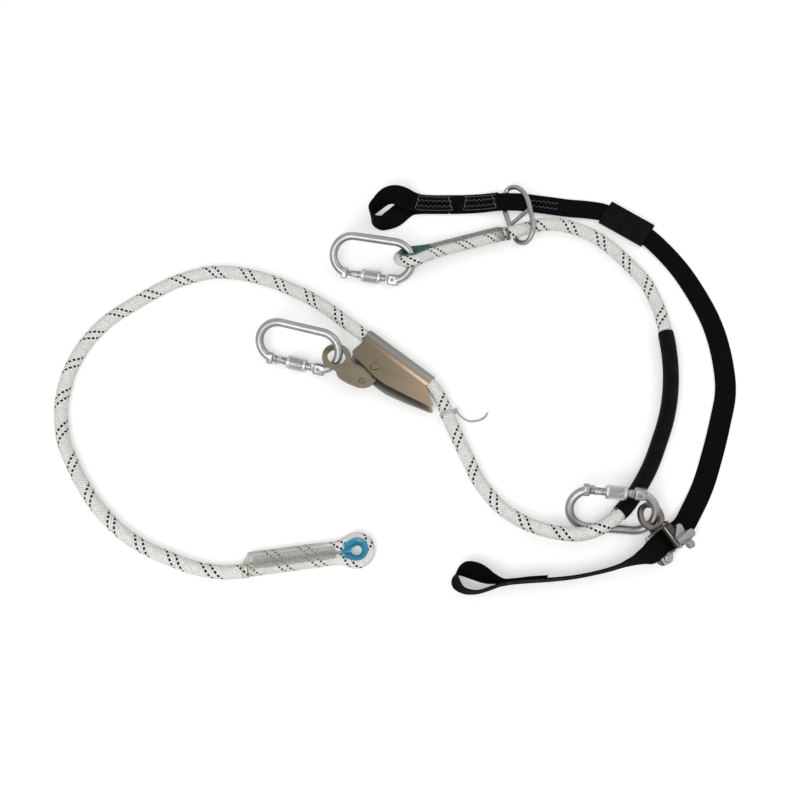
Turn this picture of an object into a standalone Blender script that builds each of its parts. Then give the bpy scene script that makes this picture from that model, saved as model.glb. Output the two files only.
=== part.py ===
"""A pole climbing strap, laid out flat on the ground.

A kernmantle rope has a sewn eye at each end. A rope adjuster with a gripping lever runs on it, and a
webbing strap with a sewn loop at each end carries a cam buckle. Three oval screw-lock carabiners hang
in the rope's upper eye, in the adjuster's lever and in the buckle's eye plate.

Metres, +Z up. The origin is on the ground under the middle of the hardware and the strap, and
+Y points away from the side that the object is looked at from.
"""
import math

import bmesh
import bpy
from mathutils import Matrix, Vector

MM = 0.001
FIT = 0.3 * MM              # the gap between two pieces that touch
RUN = 0.5 * MM              # the gap between two metal pieces that move on each other
CENTRE_SHIFT = (5.7 * MM, -3.3 * MM, 0.0)       # moves the places below so that the origin is in the middle

# Rope
ROPE_RADIUS = 8.0 * MM
ROPE_ROUTE = [(-293, -230.2, 8.2), (-318, -232, 8.2), (-345, -229, 8.2), (-384, -216, 8.2), (-430, -193, 8.2),
              (-471, -155, 8.2), (-500, -112, 8.2), (-517, -76, 8.2), (-524, -26, 8.2), (-516, 18, 8.2),
              (-488, 66, 8.2), (-439, 105, 8.2), (-393, 131, 8.2), (-351, 142, 8.2), (-307, 137.5, 8.2),
              (-254, 118, 9), (-218, 97.5, 10.4), (-188.3, 74.8, 10.5), (-170.2, 60.5, 10.5),
              (-123.1, 23.3, 10.5), (-99.6, 4.7, 10.5), (-87.8, -4.6, 10.5), (-81, -11, 10.5), (-70, -31, 10.2),
              (-58, -62, 9.6), (-45, -91, 8.6), (-30, -124, 8.4), (-8, -154, 9.5), (17, -173, 12),
              (39, -183, 14.5), (62, -189, 17), (87, -190, 18.8), (111, -181, 19), (132, -164, 16.4),
              (155, -135, 11.8), (171, -108, 10.2), (183, -80, 10.2), (195, -47, 10.2), (202, -14, 10.2),
              (204.5, 18, 10.2), (203, 51, 10.2), (197, 90, 8.6), (186, 122, 8.2), (160, 157, 8.2),
              (130, 186, 8.8), (93, 203, 11.5), (62, 206, 13.2), (32, 197.6, 14.9), (6.9, 188.7, 17.6)]

# Sewn eyes: each is a rope end laid back round a thimble, under a clear sleeve
EYE_ROPE_RADIUS = 6.7 * MM
EYE_LEG_GAP = 0.3 * MM
EYE_HOLE_RADIUS = 5.5 * MM
EYE_B_HOLE_RADIUS = 7.3 * MM
EYE_SLEEVE_END = 124 * MM
EYE_B_SLEEVE_END = 117 * MM
SLEEVE_WALL = 0.7 * MM
THIMBLE_WALL = 1.8 * MM
THIMBLE_REACH = 80             # degrees that the liner's section reaches round the rope, each way

# Rope guard and cable tie on the rope
GUARD_WALL = 1.2 * MM
GUARD_FROM = (127, -162)
GUARD_TO = (205, 63)
TIE_POINT = (-64, -44)
TIE_WIDTH = 3.6 * MM
TIE_THICK = 1.2 * MM

# Oval screw-lock carabiners
CARABINER_LENGTH = 108 * MM
CARABINER_WIDTH = 57 * MM
CARABINER_ROD = 10 * MM
GATE_RADIUS = 4.3 * MM
GATE_INSET = 1 * MM         # how far the gate's axis lies inside the oval's centre line
HINGE_INSET = 26 * MM       # from the oval's hinge end to the hinge pin
LATCH_INSET = 29 * MM       # from the oval's other end to the latch pin
HINGE_X = CARABINER_LENGTH / 2 - HINGE_INSET
LATCH_X = LATCH_INSET - CARABINER_LENGTH / 2
GATE_TIP_X = LATCH_X - 2.7 * MM
HINGE_PIN_RADIUS = 1.5 * MM
TONGUE_THICK = 4.2 * MM
SCREW_RADIUS = 8 * MM
SCREW_LENGTH = 24 * MM
SCREW_START = 1 * MM         # how far the sleeve stands towards the hinge
LUG_THICK = 9.4 * MM

# Rope adjuster
CHANNEL_RADIUS = 8.6 * MM
SHELL_WALL = 1.8 * MM
CHANNEL_LEFT = -49 * MM
CHANNEL_RIGHT = 48 * MM
PLATE_GAP = 10 * MM
LEVER_THICK = 4.5 * MM
CAM_THICK = 8.4 * MM
PIVOT = (-15.3 * MM, -28.4 * MM)
CAM_RADIUS = 20 * MM         # from the pivot to the teeth that press the rope
RIVET_RADIUS = 3 * MM
LEVER_EYE = (-59 * MM, -45.4 * MM)
EYE_BORE = 11 * MM
EYE_RIM = 17.3 * MM
LEVER_BOSS = (-15.5 * MM, -51 * MM)
ADJUSTER_TILT = 10.7        # degrees: its free side is raised by the carabiner that lies in its eye

# Webbing strap
WEB_WIDTH = 25 * MM
WEB_THICK = 1.8 * MM

# Cam buckle: the strap's middle line, the cam's pin and the rivet, from the eye plate's hole
BUCKLE_PLATE = 2 * MM
BUCKLE_PIN_RADIUS = 2 * MM
STRAP_X = 30 * MM
STRAP_Z = 2.6 * MM
CAM_PIN_Y = -1 * MM
CAM_PIN_Z = 10.5 * MM
BUCKLE_RIVET = (47.2 * MM, -19 * MM)
BUCKLE_EYE_RIM = 17 * MM
TONGUE_PLATE = 2.4 * MM

# Strap keeper and ring that ties the strap to the rope
KEEPER_LENGTH = 62 * MM
KEEPER_WIDTH = 33 * MM
KEEPER_HEIGHT = 9 * MM
KEEPER_WALL = 1.6 * MM
RING_WIRE = 3.1 * MM
CROSSBAR_WIRE = 2.5 * MM

OLIVE_STEEL = ((0.30, 0.27, 0.19), 0.38, 0.9)
ZINC = ((0.62, 0.64, 0.65), 0.25, 1.0)
PALE_STEEL = ((0.66, 0.67, 0.65), 0.35, 0.9)
WIRE_STEEL = ((0.50, 0.52, 0.50), 0.3, 1.0)
ROPE_WHITE = ((0.80, 0.79, 0.74), 0.9, 0.0)
CLEAR_PLASTIC = ((0.78, 0.78, 0.70), 0.3, 0.0)
GREY_THREAD = ((0.45, 0.45, 0.46), 0.9, 0.0)
BLUE_PLASTIC = ((0.02, 0.42, 0.60), 0.4, 0.0)
GREEN_PLASTIC = ((0.01, 0.13, 0.11), 0.4, 0.0)
BLACK_WEBBING = ((0.012, 0.012, 0.014), 0.85, 0.0)
BLACK_PLASTIC = ((0.015, 0.015, 0.017), 0.45, 0.0)


# Scene and placing

def clear_scene():
    """Removes whatever the file opened with."""
    for obj in list(bpy.data.objects):
        bpy.data.objects.remove(obj, do_unlink=True)


def collection(name):
    """A new collection in the scene."""
    group = bpy.data.collections.new(name)
    bpy.context.scene.collection.children.link(group)
    return group


def material(name, look):
    """A Principled material of one colour, roughness and metallic value."""
    colour, roughness, metallic = look
    made = bpy.data.materials.new(name)
    made.use_nodes = True
    shader = made.node_tree.nodes["Principled BSDF"]
    shader.inputs["Base Color"].default_value = (*colour, 1.0)
    shader.inputs["Roughness"].default_value = roughness
    shader.inputs["Metallic"].default_value = metallic
    return made


def frame(name, matrix, parent=None):
    """An empty that carries an assembly."""
    empty = bpy.data.objects.new(name, None)
    empty.empty_display_size = 10 * MM
    PARTS.objects.link(empty)
    if name != "root":
        empty.parent = parent or ROOT
    empty.matrix_local = matrix
    return empty


def axes_matrix(origin, x_axis, z_hint):
    """A placing matrix from an origin, an X axis and a direction near Z."""
    x = Vector(x_axis).normalized()
    y = Vector(z_hint).cross(x).normalized()
    z = x.cross(y)
    matrix = Matrix((x, y, z)).transposed().to_4x4()
    matrix.translation = Vector(origin)
    return matrix


def seat(obj, parent, offset):
    """Parents an object and its cutters to a frame."""
    obj.parent = parent or ROOT
    obj.location += offset
    for modifier in obj.modifiers:
        if modifier.type == "BOOLEAN":
            seat(modifier.object, parent, offset)


def finish(obj, name, look, parent=None, offset=Vector()):
    """Names a part, gives it its own material and puts it on its frame."""
    obj.name = name
    seat(obj, parent, offset)
    obj.data.materials.clear()
    obj.data.materials.append(material(name, look))
    if obj.type == "MESH":
        obj.data.shade_smooth()
        obj.data.set_sharp_from_angle(angle=math.radians(35))
    return obj


# Shapes

def mesh_object(bm):
    """Turns a bmesh into an object."""
    bmesh.ops.recalc_face_normals(bm, faces=bm.faces)
    mesh = bpy.data.meshes.new("shape")
    bm.to_mesh(mesh)
    bm.free()
    obj = bpy.data.objects.new("shape", mesh)
    PARTS.objects.link(obj)
    return obj


def block(low, high, bevel=0.0, segments=2):
    """A box between two corners, with rounded edges."""
    low, high = Vector(low), Vector(high)
    bm = bmesh.new()
    bmesh.ops.create_cube(bm, size=1.0)
    bmesh.ops.scale(bm, vec=high - low, verts=bm.verts)
    bmesh.ops.translate(bm, vec=(low + high) / 2, verts=bm.verts)
    if bevel:
        bmesh.ops.bevel(bm, geom=bm.edges[:], offset=bevel, segments=segments, profile=0.5, affect="EDGES")
    return mesh_object(bm)


def rod(radius, start, end, sides=20, chamfer=0.0):
    """A cylinder between two points."""
    start, end = Vector(start), Vector(end)
    run = end - start
    bm = bmesh.new()
    bmesh.ops.create_cone(bm, cap_ends=True, segments=sides, radius1=radius, radius2=radius, depth=run.length)
    if chamfer:
        rims = [edge for edge in bm.edges if abs(edge.verts[0].co.z - edge.verts[1].co.z) < 1e-9]
        bmesh.ops.bevel(bm, geom=rims, offset=chamfer, segments=1, affect="EDGES")
    turn = run.to_track_quat("Z", "Y").to_matrix().to_4x4()
    bmesh.ops.transform(bm, matrix=Matrix.Translation((start + end) / 2) @ turn, verts=bm.verts)
    return mesh_object(bm)


def curve_object(points, closed):
    """A curve through a list of points."""
    curve = bpy.data.curves.new("shape", "CURVE")
    curve.dimensions = "3D"
    line = curve.splines.new("POLY")
    line.points.add(len(points) - 1)
    for target, point in zip(line.points, points):
        target.co = (*point, 1.0)
    line.use_cyclic_u = closed
    obj = bpy.data.objects.new("shape", curve)
    PARTS.objects.link(obj)
    return obj


def tube(points, radius, closed=False, resolution=2):
    """A round wire along a list of points."""
    obj = curve_object(points, closed)
    obj.data.bevel_depth = radius
    obj.data.bevel_resolution = resolution
    obj.data.use_fill_caps = not closed
    return obj


def plate(outline, low, high):
    """A flat plate of an outline in X and Y, between two heights."""
    obj = curve_object([(x, y, 0.0) for x, y in outline], True)
    obj.data.dimensions = "2D"
    obj.data.fill_mode = "BOTH"
    obj.data.extrude = (high - low) / 2
    obj.location = (0.0, 0.0, (low + high) / 2)
    return solid(obj)


def solid(obj):
    """The welded mesh of a curve, in the curve's place."""
    bpy.context.view_layer.update()
    evaluated = obj.evaluated_get(bpy.context.evaluated_depsgraph_get())
    mesh = bpy.data.meshes.new_from_object(evaluated)
    made = bpy.data.objects.new("shape", mesh)
    PARTS.objects.link(made)
    made.matrix_world = obj.matrix_world.copy()
    bpy.data.objects.remove(obj)
    bm = bmesh.new()
    bm.from_mesh(mesh)
    bmesh.ops.remove_doubles(bm, verts=bm.verts, dist=0.001 * MM)
    bmesh.ops.recalc_face_normals(bm, faces=bm.faces)
    bm.to_mesh(mesh)
    bm.free()
    return made


def sweep(stations, section, closed=False, caps=True):
    """Lofts a section along stations, each a place with an across and an upward direction."""
    bm = bmesh.new()
    rings = []
    for place, across, up in stations:
        rings.append([bm.verts.new(place + across * a + up * b) for a, b in section])
    count = len(section)
    pairs = list(zip(rings, rings[1:]))
    if closed:
        pairs.append((rings[-1], rings[0]))
    for near, far in pairs:
        for i in range(count):
            j = (i + 1) % count
            bm.faces.new((near[i], near[j], far[j], far[i]))
    if caps and not closed:
        bm.faces.new(list(reversed(rings[0])))
        bm.faces.new(rings[-1])
    return mesh_object(bm)


def combine(target, other, operation):
    """Adds or cuts another solid with a Boolean modifier, and puts that solid among the cutters."""
    PARTS.objects.unlink(other)
    CUTTERS.objects.link(other)
    other.hide_render = True
    other.display_type = "WIRE"
    modifier = target.modifiers.new(operation.lower(), "BOOLEAN")
    modifier.operation = operation
    modifier.object = other
    return target


def cut(target, *others):
    """Cuts solids out of the target."""
    for other in others:
        combine(target, other, "DIFFERENCE")
    return target


def join(target, *others):
    """Unites solids with the target."""
    for other in others:
        combine(target, other, "UNION")
    return target


def arc(centre, radius, start, end, steps):
    """Points of an arc in X and Y, angles in degrees."""
    points = []
    for i in range(steps + 1):
        angle = math.radians(start + (end - start) * i / steps)
        points.append((centre[0] + radius * math.cos(angle), centre[1] + radius * math.sin(angle)))
    return points


def smooth(route, count, closed=False):
    """Evenly spaced points on a smooth curve through a route. Each point may carry more values."""
    size = len(route)

    def value(i):
        return route[i % size] if closed else route[min(max(i, 0), size - 1)]

    dense = []
    spans = size if closed else size - 1
    steps = 16
    for i in range(spans):
        a, b, c, d = value(i - 1), value(i), value(i + 1), value(i + 2)
        ab, bc, cd = math.dist(a[:3], b[:3]), math.dist(b[:3], c[:3]), math.dist(c[:3], d[:3])
        for k in range(steps):
            t = k / steps
            point = []
            for p, q, r, s in zip(a, b, c, d):
                leave = slope(p, q, r, ab, bc)
                arrive = slope(q, r, s, bc, cd)
                h = (2 * t ** 3 - 3 * t ** 2 + 1, t ** 3 - 2 * t ** 2 + t, 3 * t ** 2 - 2 * t ** 3, t ** 3 - t ** 2)
                point.append(h[0] * q + h[1] * leave * bc + h[2] * r + h[3] * arrive * bc)
            dense.append(point)
    dense.append(list(value(spans)))
    lengths = [0.0]
    for near, far in zip(dense, dense[1:]):
        lengths.append(lengths[-1] + math.dist(near[:3], far[:3]))
    points = []
    index = 0
    wanted = count if closed else count - 1
    for k in range(count):
        goal = lengths[-1] * k / wanted
        while index < len(lengths) - 2 and lengths[index + 1] < goal:
            index += 1
        share = (goal - lengths[index]) / max(lengths[index + 1] - lengths[index], 1e-12)
        points.append([p + (q - p) * share for p, q in zip(dense[index], dense[index + 1])])
    return points


def slope(before, here, after, near, far):
    """The rate of change at a point of a route, from its two neighbours' distances."""
    if near <= 1e-6:
        return (after - here) / far
    if far <= 1e-6:
        return (here - before) / near
    return ((here - before) / near * far + (after - here) / far * near) / (near + far)


def metres(route):
    """A route given in millimetres, with any angle after the place left as it is."""
    return [(x * MM, y * MM, z * MM, *rest) for x, y, z, *rest in route]


# Carabiners

def carabiner_body():
    """The forged C of the oval, with its hinge lug, its nose lug and the nose's flat tongue."""
    bend = (CARABINER_WIDTH - CARABINER_ROD) / 2
    reach = (CARABINER_LENGTH - CARABINER_WIDTH) / 2
    axis = -(bend - GATE_INSET)
    path = arc((-reach, 0.0), bend, 256, 90, 10) + arc((reach, 0.0), bend, 90, -76, 10)
    body = solid(tube([(x, y, 0.0) for x, y in path], CARABINER_ROD / 2))
    half = LUG_THICK / 2
    bottom, top = axis - 7 * MM, axis + 6 * MM
    hinge_lug = block((HINGE_X - 6 * MM, bottom, -half), (HINGE_X + 8 * MM, top, half), 2 * MM)
    nose_face = GATE_TIP_X - 0.6 * MM
    nose_lug = block((nose_face - 7.7 * MM, bottom, -half), (nose_face, top, half), 2 * MM)
    root, step, tip = GATE_TIP_X - 3.3 * MM, LATCH_X + 1.6 * MM, LATCH_X + 6.5 * MM
    tongue = [(root, axis + 4 * MM), (root, axis - 6 * MM), (step, axis - 6 * MM),
              (step, axis - 4 * MM), (tip, axis - 4 * MM), (tip, axis + 4 * MM)]
    join(body, hinge_lug, nose_lug, plate(tongue, -TONGUE_THICK / 2, TONGUE_THICK / 2))
    room = TONGUE_THICK / 2 + FIT
    slot = block((HINGE_X - 9 * MM, axis - 5 * MM, -room), (HINGE_X + 5.5 * MM, axis + 9 * MM, room))
    hinge = rod(HINGE_PIN_RADIUS + FIT, (HINGE_X, axis, -half - MM), (HINGE_X, axis, half + MM), 12)
    notch_half = HINGE_PIN_RADIUS + FIT + 0.1 * MM
    notch = block((LATCH_X - notch_half, axis - notch_half, -4 * MM),
                  (LATCH_X + notch_half, axis + 9 * MM, 4 * MM))
    return cut(body, slot, hinge, notch), axis


def gate_body(axis):
    """The round gate: a flat tongue at the hinge, a fork at the nose, and a bore for the closing spring."""
    shank_end = HINGE_X - 8.7 * MM
    root = HINGE_X - 11 * MM
    gate = rod(GATE_RADIUS, (GATE_TIP_X, axis, 0.0), (shank_end, axis, 0.0), 16)
    half = TONGUE_THICK / 2
    outline = arc((HINGE_X, axis), GATE_RADIUS, -90, 90, 6)
    outline += [(root, axis + 4.1 * MM), (root, axis - 4.1 * MM)]
    join(gate, plate(outline, -half, half))
    fork = block((GATE_TIP_X - 2.3 * MM, axis - 6 * MM, -half - RUN),
                 (LATCH_X + 8 * MM, axis + 6 * MM, half + RUN))
    hinge = rod(HINGE_PIN_RADIUS + FIT, (HINGE_X, axis, -6 * MM), (HINGE_X, axis, 6 * MM), 12)
    latch = rod(HINGE_PIN_RADIUS + FIT, (LATCH_X, axis, -6 * MM), (LATCH_X, axis, 6 * MM), 12)
    bore = rod(1.5 * MM, (HINGE_X - 24 * MM, axis, 0.0), (HINGE_X, axis, 0.0), 8)
    return cut(gate, fork, hinge, latch, bore)


def gate_spring(axis):
    """The compression spring in the gate's bore."""
    turns, steps = 4, 6
    start, length = HINGE_X - 23 * MM, 10 * MM
    points = []
    for i in range(turns * steps + 1):
        angle = 2 * math.pi * i / steps
        along = start + length * i / (turns * steps)
        points.append((along, axis + 0.8 * MM * math.cos(angle), 0.8 * MM * math.sin(angle)))
    return tube(points, 0.25 * MM, resolution=0)


def screw_sleeve(axis):
    """The knurled sleeve that screws over the nose to lock the gate."""
    near, far = SCREW_START - SCREW_LENGTH / 2, SCREW_START + SCREW_LENGTH / 2
    sleeve = rod(SCREW_RADIUS, (near, axis, 0.0), (far, axis, 0.0), 24, chamfer=1.0 * MM)
    return cut(sleeve, rod(GATE_RADIUS + RUN, (near - MM, axis, 0.0), (far + MM, axis, 0.0), 16))


def carabiner(number, end, yaw, roll):
    """One oval screw-lock carabiner, placed by the hinge end that lies in the piece that carries it."""
    turn = Matrix.Rotation(math.radians(yaw), 4, "Z") @ Matrix.Rotation(math.radians(roll), 4, "X")
    back = Matrix.Translation((-CARABINER_LENGTH / 2, 0.0, 0.0))
    base = frame(f"carabiner_{number}_frame", Matrix.Translation(Vector(end) * MM) @ turn @ back)
    body, axis = carabiner_body()
    half = LUG_THICK / 2
    finish(body, f"carabiner_{number}_body", ZINC, base)
    pin = rod(HINGE_PIN_RADIUS, (HINGE_X, axis, -half), (HINGE_X, axis, half), 12)
    finish(pin, f"carabiner_{number}_hinge_pin", ZINC, base)
    pivot = Vector((HINGE_X, axis, 0.0))
    swing = frame(f"carabiner_{number}_gate_pivot", Matrix.Translation(pivot), base)
    finish(gate_body(axis), f"carabiner_{number}_gate", ZINC, swing, -pivot)
    finish(screw_sleeve(axis), f"carabiner_{number}_screw_sleeve", ZINC, swing, -pivot)
    latch = rod(HINGE_PIN_RADIUS, (LATCH_X, axis, -3.9 * MM), (LATCH_X, axis, 3.9 * MM), 12)
    finish(latch, f"carabiner_{number}_latch_pin", ZINC, swing, -pivot)
    stop = HINGE_X - HINGE_PIN_RADIUS - FIT
    plunger = rod(1.1 * MM, (HINGE_X - 12.4 * MM, axis, 0.0), (stop, axis, 0.0), 8)
    finish(plunger, f"carabiner_{number}_plunger", PALE_STEEL, swing, -pivot)
    finish(gate_spring(axis), f"carabiner_{number}_gate_spring", PALE_STEEL, swing, -pivot)


# Rope, sewn eyes, thimbles

def loop_radius(hole):
    """The radius of the rope's centre line round a thimble with this hole."""
    return hole + THIMBLE_WALL + FIT + EYE_ROPE_RADIUS


def eye_path(sleeve_end, hole):
    """The rope's centre line in its sewn eye, from the main leg round the thimble to the tail."""
    leg = EYE_ROPE_RADIUS + EYE_LEG_GAP / 2
    radius = loop_radius(hole)
    side = [(-1.92 * radius, leg), (-1.43 * radius, leg + 0.044 * radius), (-0.98 * radius, leg + 0.193 * radius)]
    bend = arc((0.0, 0.0), radius, -121, 121, 14)
    main = [(-sleeve_end, -leg)] + [(x, -y) for x, y in side]
    tail = [(x, y) for x, y in reversed(side)] + [(-sleeve_end + 1.5 * MM, leg)]
    return main + bend + tail


def thimble(path):
    """The plastic liner in the eye: a crescent section that holds the rope, open at its narrow end."""
    near, far = 3, len(path) - 4
    inner, outer = EYE_ROPE_RADIUS + FIT, EYE_ROPE_RADIUS + FIT + THIMBLE_WALL
    section = arc((0.0, 0.0), inner, -THIMBLE_REACH, THIMBLE_REACH, 6)
    section += arc((0.0, 0.0), outer, THIMBLE_REACH, -THIMBLE_REACH, 6)
    stations = []
    for i in range(near, far + 1):
        along = (Vector((*path[i + 1], 0.0)) - Vector((*path[i - 1], 0.0))).normalized()
        inward = Vector((-along.y, along.x, 0.0))
        stations.append((Vector((*path[i], 0.0)), inward, Vector((0.0, 0.0, 1.0))))
    return sweep(stations, section)


def eye_sleeve(sleeve_end):
    """The clear shrink sleeve round both legs."""
    leg = EYE_ROPE_RADIUS + EYE_LEG_GAP / 2
    radius = EYE_ROPE_RADIUS + FIT
    section = arc((leg, 0.0), radius, -90, 90, 8) + arc((-leg, 0.0), radius, 90, 270, 8)
    across, up = Vector((0.0, 1.0, 0.0)), Vector((0.0, 0.0, 1.0))
    stations = [(Vector((x, 0.0, 0.0)), across, up) for x in (-sleeve_end + 0.5 * MM, -31 * MM)]
    sleeve = sweep(stations, section, caps=False)
    wall = sleeve.modifiers.new("wall", "SOLIDIFY")
    wall.thickness = SLEEVE_WALL
    wall.offset = 1.0
    return sleeve


def eye_seam(sleeve_end, side):
    """The thread that fills the groove between the two legs, on one face."""
    leg = EYE_ROPE_RADIUS + EYE_LEG_GAP / 2
    radius = EYE_ROPE_RADIUS + FIT

    def groove(y):
        return math.sqrt(radius ** 2 - (leg - abs(y)) ** 2)

    ys = [-4 * MM, -2.4 * MM, -1 * MM, 1 * MM, 2.4 * MM, 4 * MM]
    section = [(y, groove(y)) for y in ys] + [(4.3 * MM, radius - 0.2 * MM), (-4.3 * MM, radius - 0.2 * MM)]
    up = Vector((0.0, 0.0, 1.0))
    across = Vector((0.0, 1.0, 0.0))
    stations = [(Vector((x, 0.0, 0.0)), across, up * side) for x in (-sleeve_end + 9 * MM, -33 * MM)]
    return sweep(stations, section)


def thimble_web(hole):
    """The web that narrows the liner's opening to a keyhole."""
    radius = hole + 0.9 * MM
    outline = arc((0.0, 0.0), radius, 112, 248, 10) + [(-15 * MM, -1.6 * MM), (-15 * MM, 1.6 * MM)]
    keyhole = arc((0.0, 0.0), hole, -168, 168, 22) + [(-11.5 * MM, 0.7 * MM), (-11.5 * MM, -0.7 * MM)]
    half = 3 * MM
    return cut(plate(outline, -half, half), plate(keyhole, -half - MM, half + MM))


def sewn_eye(letter, matrix, sleeve_end, hole, thimble_look):
    """A rope eye: the laid-back rope, its thimble, the seam and the clear sleeve."""
    base = frame(f"eye_{letter}_frame", matrix)
    path = eye_path(sleeve_end, hole)
    rope = tube([(x, y, 0.0) for x, y in path], EYE_ROPE_RADIUS)
    finish(rope, f"eye_{letter}_rope", ROPE_WHITE, base)
    liner = thimble(path)
    if hole < EYE_B_HOLE_RADIUS:
        join(liner, thimble_web(hole))
    finish(liner, f"eye_{letter}_thimble", thimble_look, base)
    finish(eye_seam(sleeve_end, 1), f"eye_{letter}_seam_front", GREY_THREAD, base)
    finish(eye_seam(sleeve_end, -1), f"eye_{letter}_seam_back", GREY_THREAD, base)
    finish(eye_sleeve(sleeve_end), f"eye_{letter}_sleeve", CLEAR_PLASTIC, base)


def travel_stations(points):
    """Sections square to a route: place, level across direction and upward direction."""
    stations = []
    for i, point in enumerate(points):
        before, after = points[max(i - 1, 0)], points[min(i + 1, len(points) - 1)]
        along = (Vector(after[:3]) - Vector(before[:3])).normalized()
        across = Vector((0.0, 0.0, 1.0)).cross(along).normalized()
        stations.append((Vector(point[:3]), across, along.cross(across)))
    return stations


def nearest(points, spot):
    """The index of the route point nearest to a spot on the ground."""
    spot = (spot[0] * MM, spot[1] * MM)
    return min(range(len(points)), key=lambda i: math.dist(points[i][:2], spot))


def rope_and_guard():
    """The free rope between the eyes, the black guard on it, and the cable tie that marks it."""
    points = smooth(metres(ROPE_ROUTE), 68)
    finish(tube([point[:3] for point in points], ROPE_RADIUS), "rope", ROPE_WHITE)
    stretch = points[nearest(points, GUARD_FROM):nearest(points, GUARD_TO) + 1]
    sides = 12
    inner = (ROPE_RADIUS + FIT) / math.cos(math.pi / sides)
    section = arc((0.0, 0.0), inner, 0, 360 - 360 / sides, sides - 1)
    guard = sweep(travel_stations(stretch), section, caps=False)
    wall = guard.modifiers.new("wall", "SOLIDIFY")
    wall.thickness = GUARD_WALL
    wall.offset = 1.0
    finish(guard, "rope_guard", BLACK_PLASTIC)
    cable_tie(points)


def cable_tie(points):
    """A thin tie drawn tight round the rope, with its head and its cut tail."""
    index = nearest(points, TIE_POINT)
    place, across, up = travel_stations(points)[index]
    along = across.cross(up)
    base = frame("cable_tie_frame", axes_matrix(place, along, up))
    radius = ROPE_RADIUS + FIT + TIE_THICK / 2
    ring = [(Vector((0.0, radius * c, radius * s)), Vector((0.0, c, s)), Vector((1.0, 0.0, 0.0)))
            for c, s in arc((0.0, 0.0), 1.0, 0, 345, 23)]
    half, flat = TIE_THICK / 2, TIE_WIDTH / 2
    band = sweep(ring, [(-half, -flat), (half, -flat), (half, flat), (-half, flat)], closed=True)
    wide = 2.6 * MM
    head = block((-wide, radius - 0.4 * MM, -wide), (wide, radius + 4 * MM, wide), 0.6 * MM, 1)
    tail_route = [(0, 11, 0), (8, 13.5, 1), (17, 20, 1), (20, 30, 0), (18, 41, -3), (14, 46, -4)]
    tail = solid(tube([point[:3] for point in smooth(metres(tail_route), 9)], 1.1 * MM, resolution=1))
    finish(join(band, head, tail), "cable_tie", CLEAR_PLASTIC, base)


# Rope adjuster

def shell_section():
    """The folded sheet's section: a round channel for the rope that opens between two side plates."""
    inner, outer = CHANNEL_RADIUS, CHANNEL_RADIUS + SHELL_WALL
    low, high = PLATE_GAP / 2, PLATE_GAP / 2 + SHELL_WALL
    edge = -60 * MM
    turn_out = math.degrees(math.asin(high / outer))
    turn_in = math.degrees(math.asin(low / inner))
    section = [(edge, -high)] + arc((0.0, 0.0), outer, -180 + turn_out, 180 - turn_out, 18) + [(edge, high)]
    section += [(edge, low)] + arc((0.0, 0.0), inner, 180 - turn_in, -180 + turn_in, 18) + [(edge, -low)]
    return section


def adjuster_shell():
    """The shell, cut to its outline: the upper plate is a little smaller than the lower one."""
    across, up = Vector((0.0, 1.0, 0.0)), Vector((0.0, 0.0, 1.0))
    stations = [(Vector((x, 0.0, 0.0)), across, up) for x in (-60 * MM, 80 * MM)]
    shell = sweep(stations, shell_section())
    wing = [(71.5, -23.5), (70.5, -27.5), (42, -36.5), (16, -43), (-9, -42.5), (-40, -36), (-46, -33),
            (-48.2, -28.5), (-47, -13)]
    outline = [(CHANNEL_LEFT, 14 * MM), (CHANNEL_RIGHT, 14 * MM), (CHANNEL_RIGHT, -9 * MM)]
    outline += [(x * MM, y * MM) for x, y in wing] + [(CHANNEL_LEFT, -9 * MM)]
    combine(shell, plate(outline, -20 * MM, 20 * MM), "INTERSECT")
    free_edge = [(-60, -30), (-46, -31), (-42, -33), (-6.9, -38.8), (9, -38.4), (41.9, -32.1), (66, -27),
                 (72, -21), (90, -20), (90, -70), (-60, -70)]
    trim = plate([(x * MM, y * MM) for x, y in free_edge], 1 * MM, 20 * MM)
    pivot = rod(RIVET_RADIUS + FIT, (*PIVOT, -20 * MM), (*PIVOT, 20 * MM))
    return cut(shell, trim, pivot)


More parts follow.
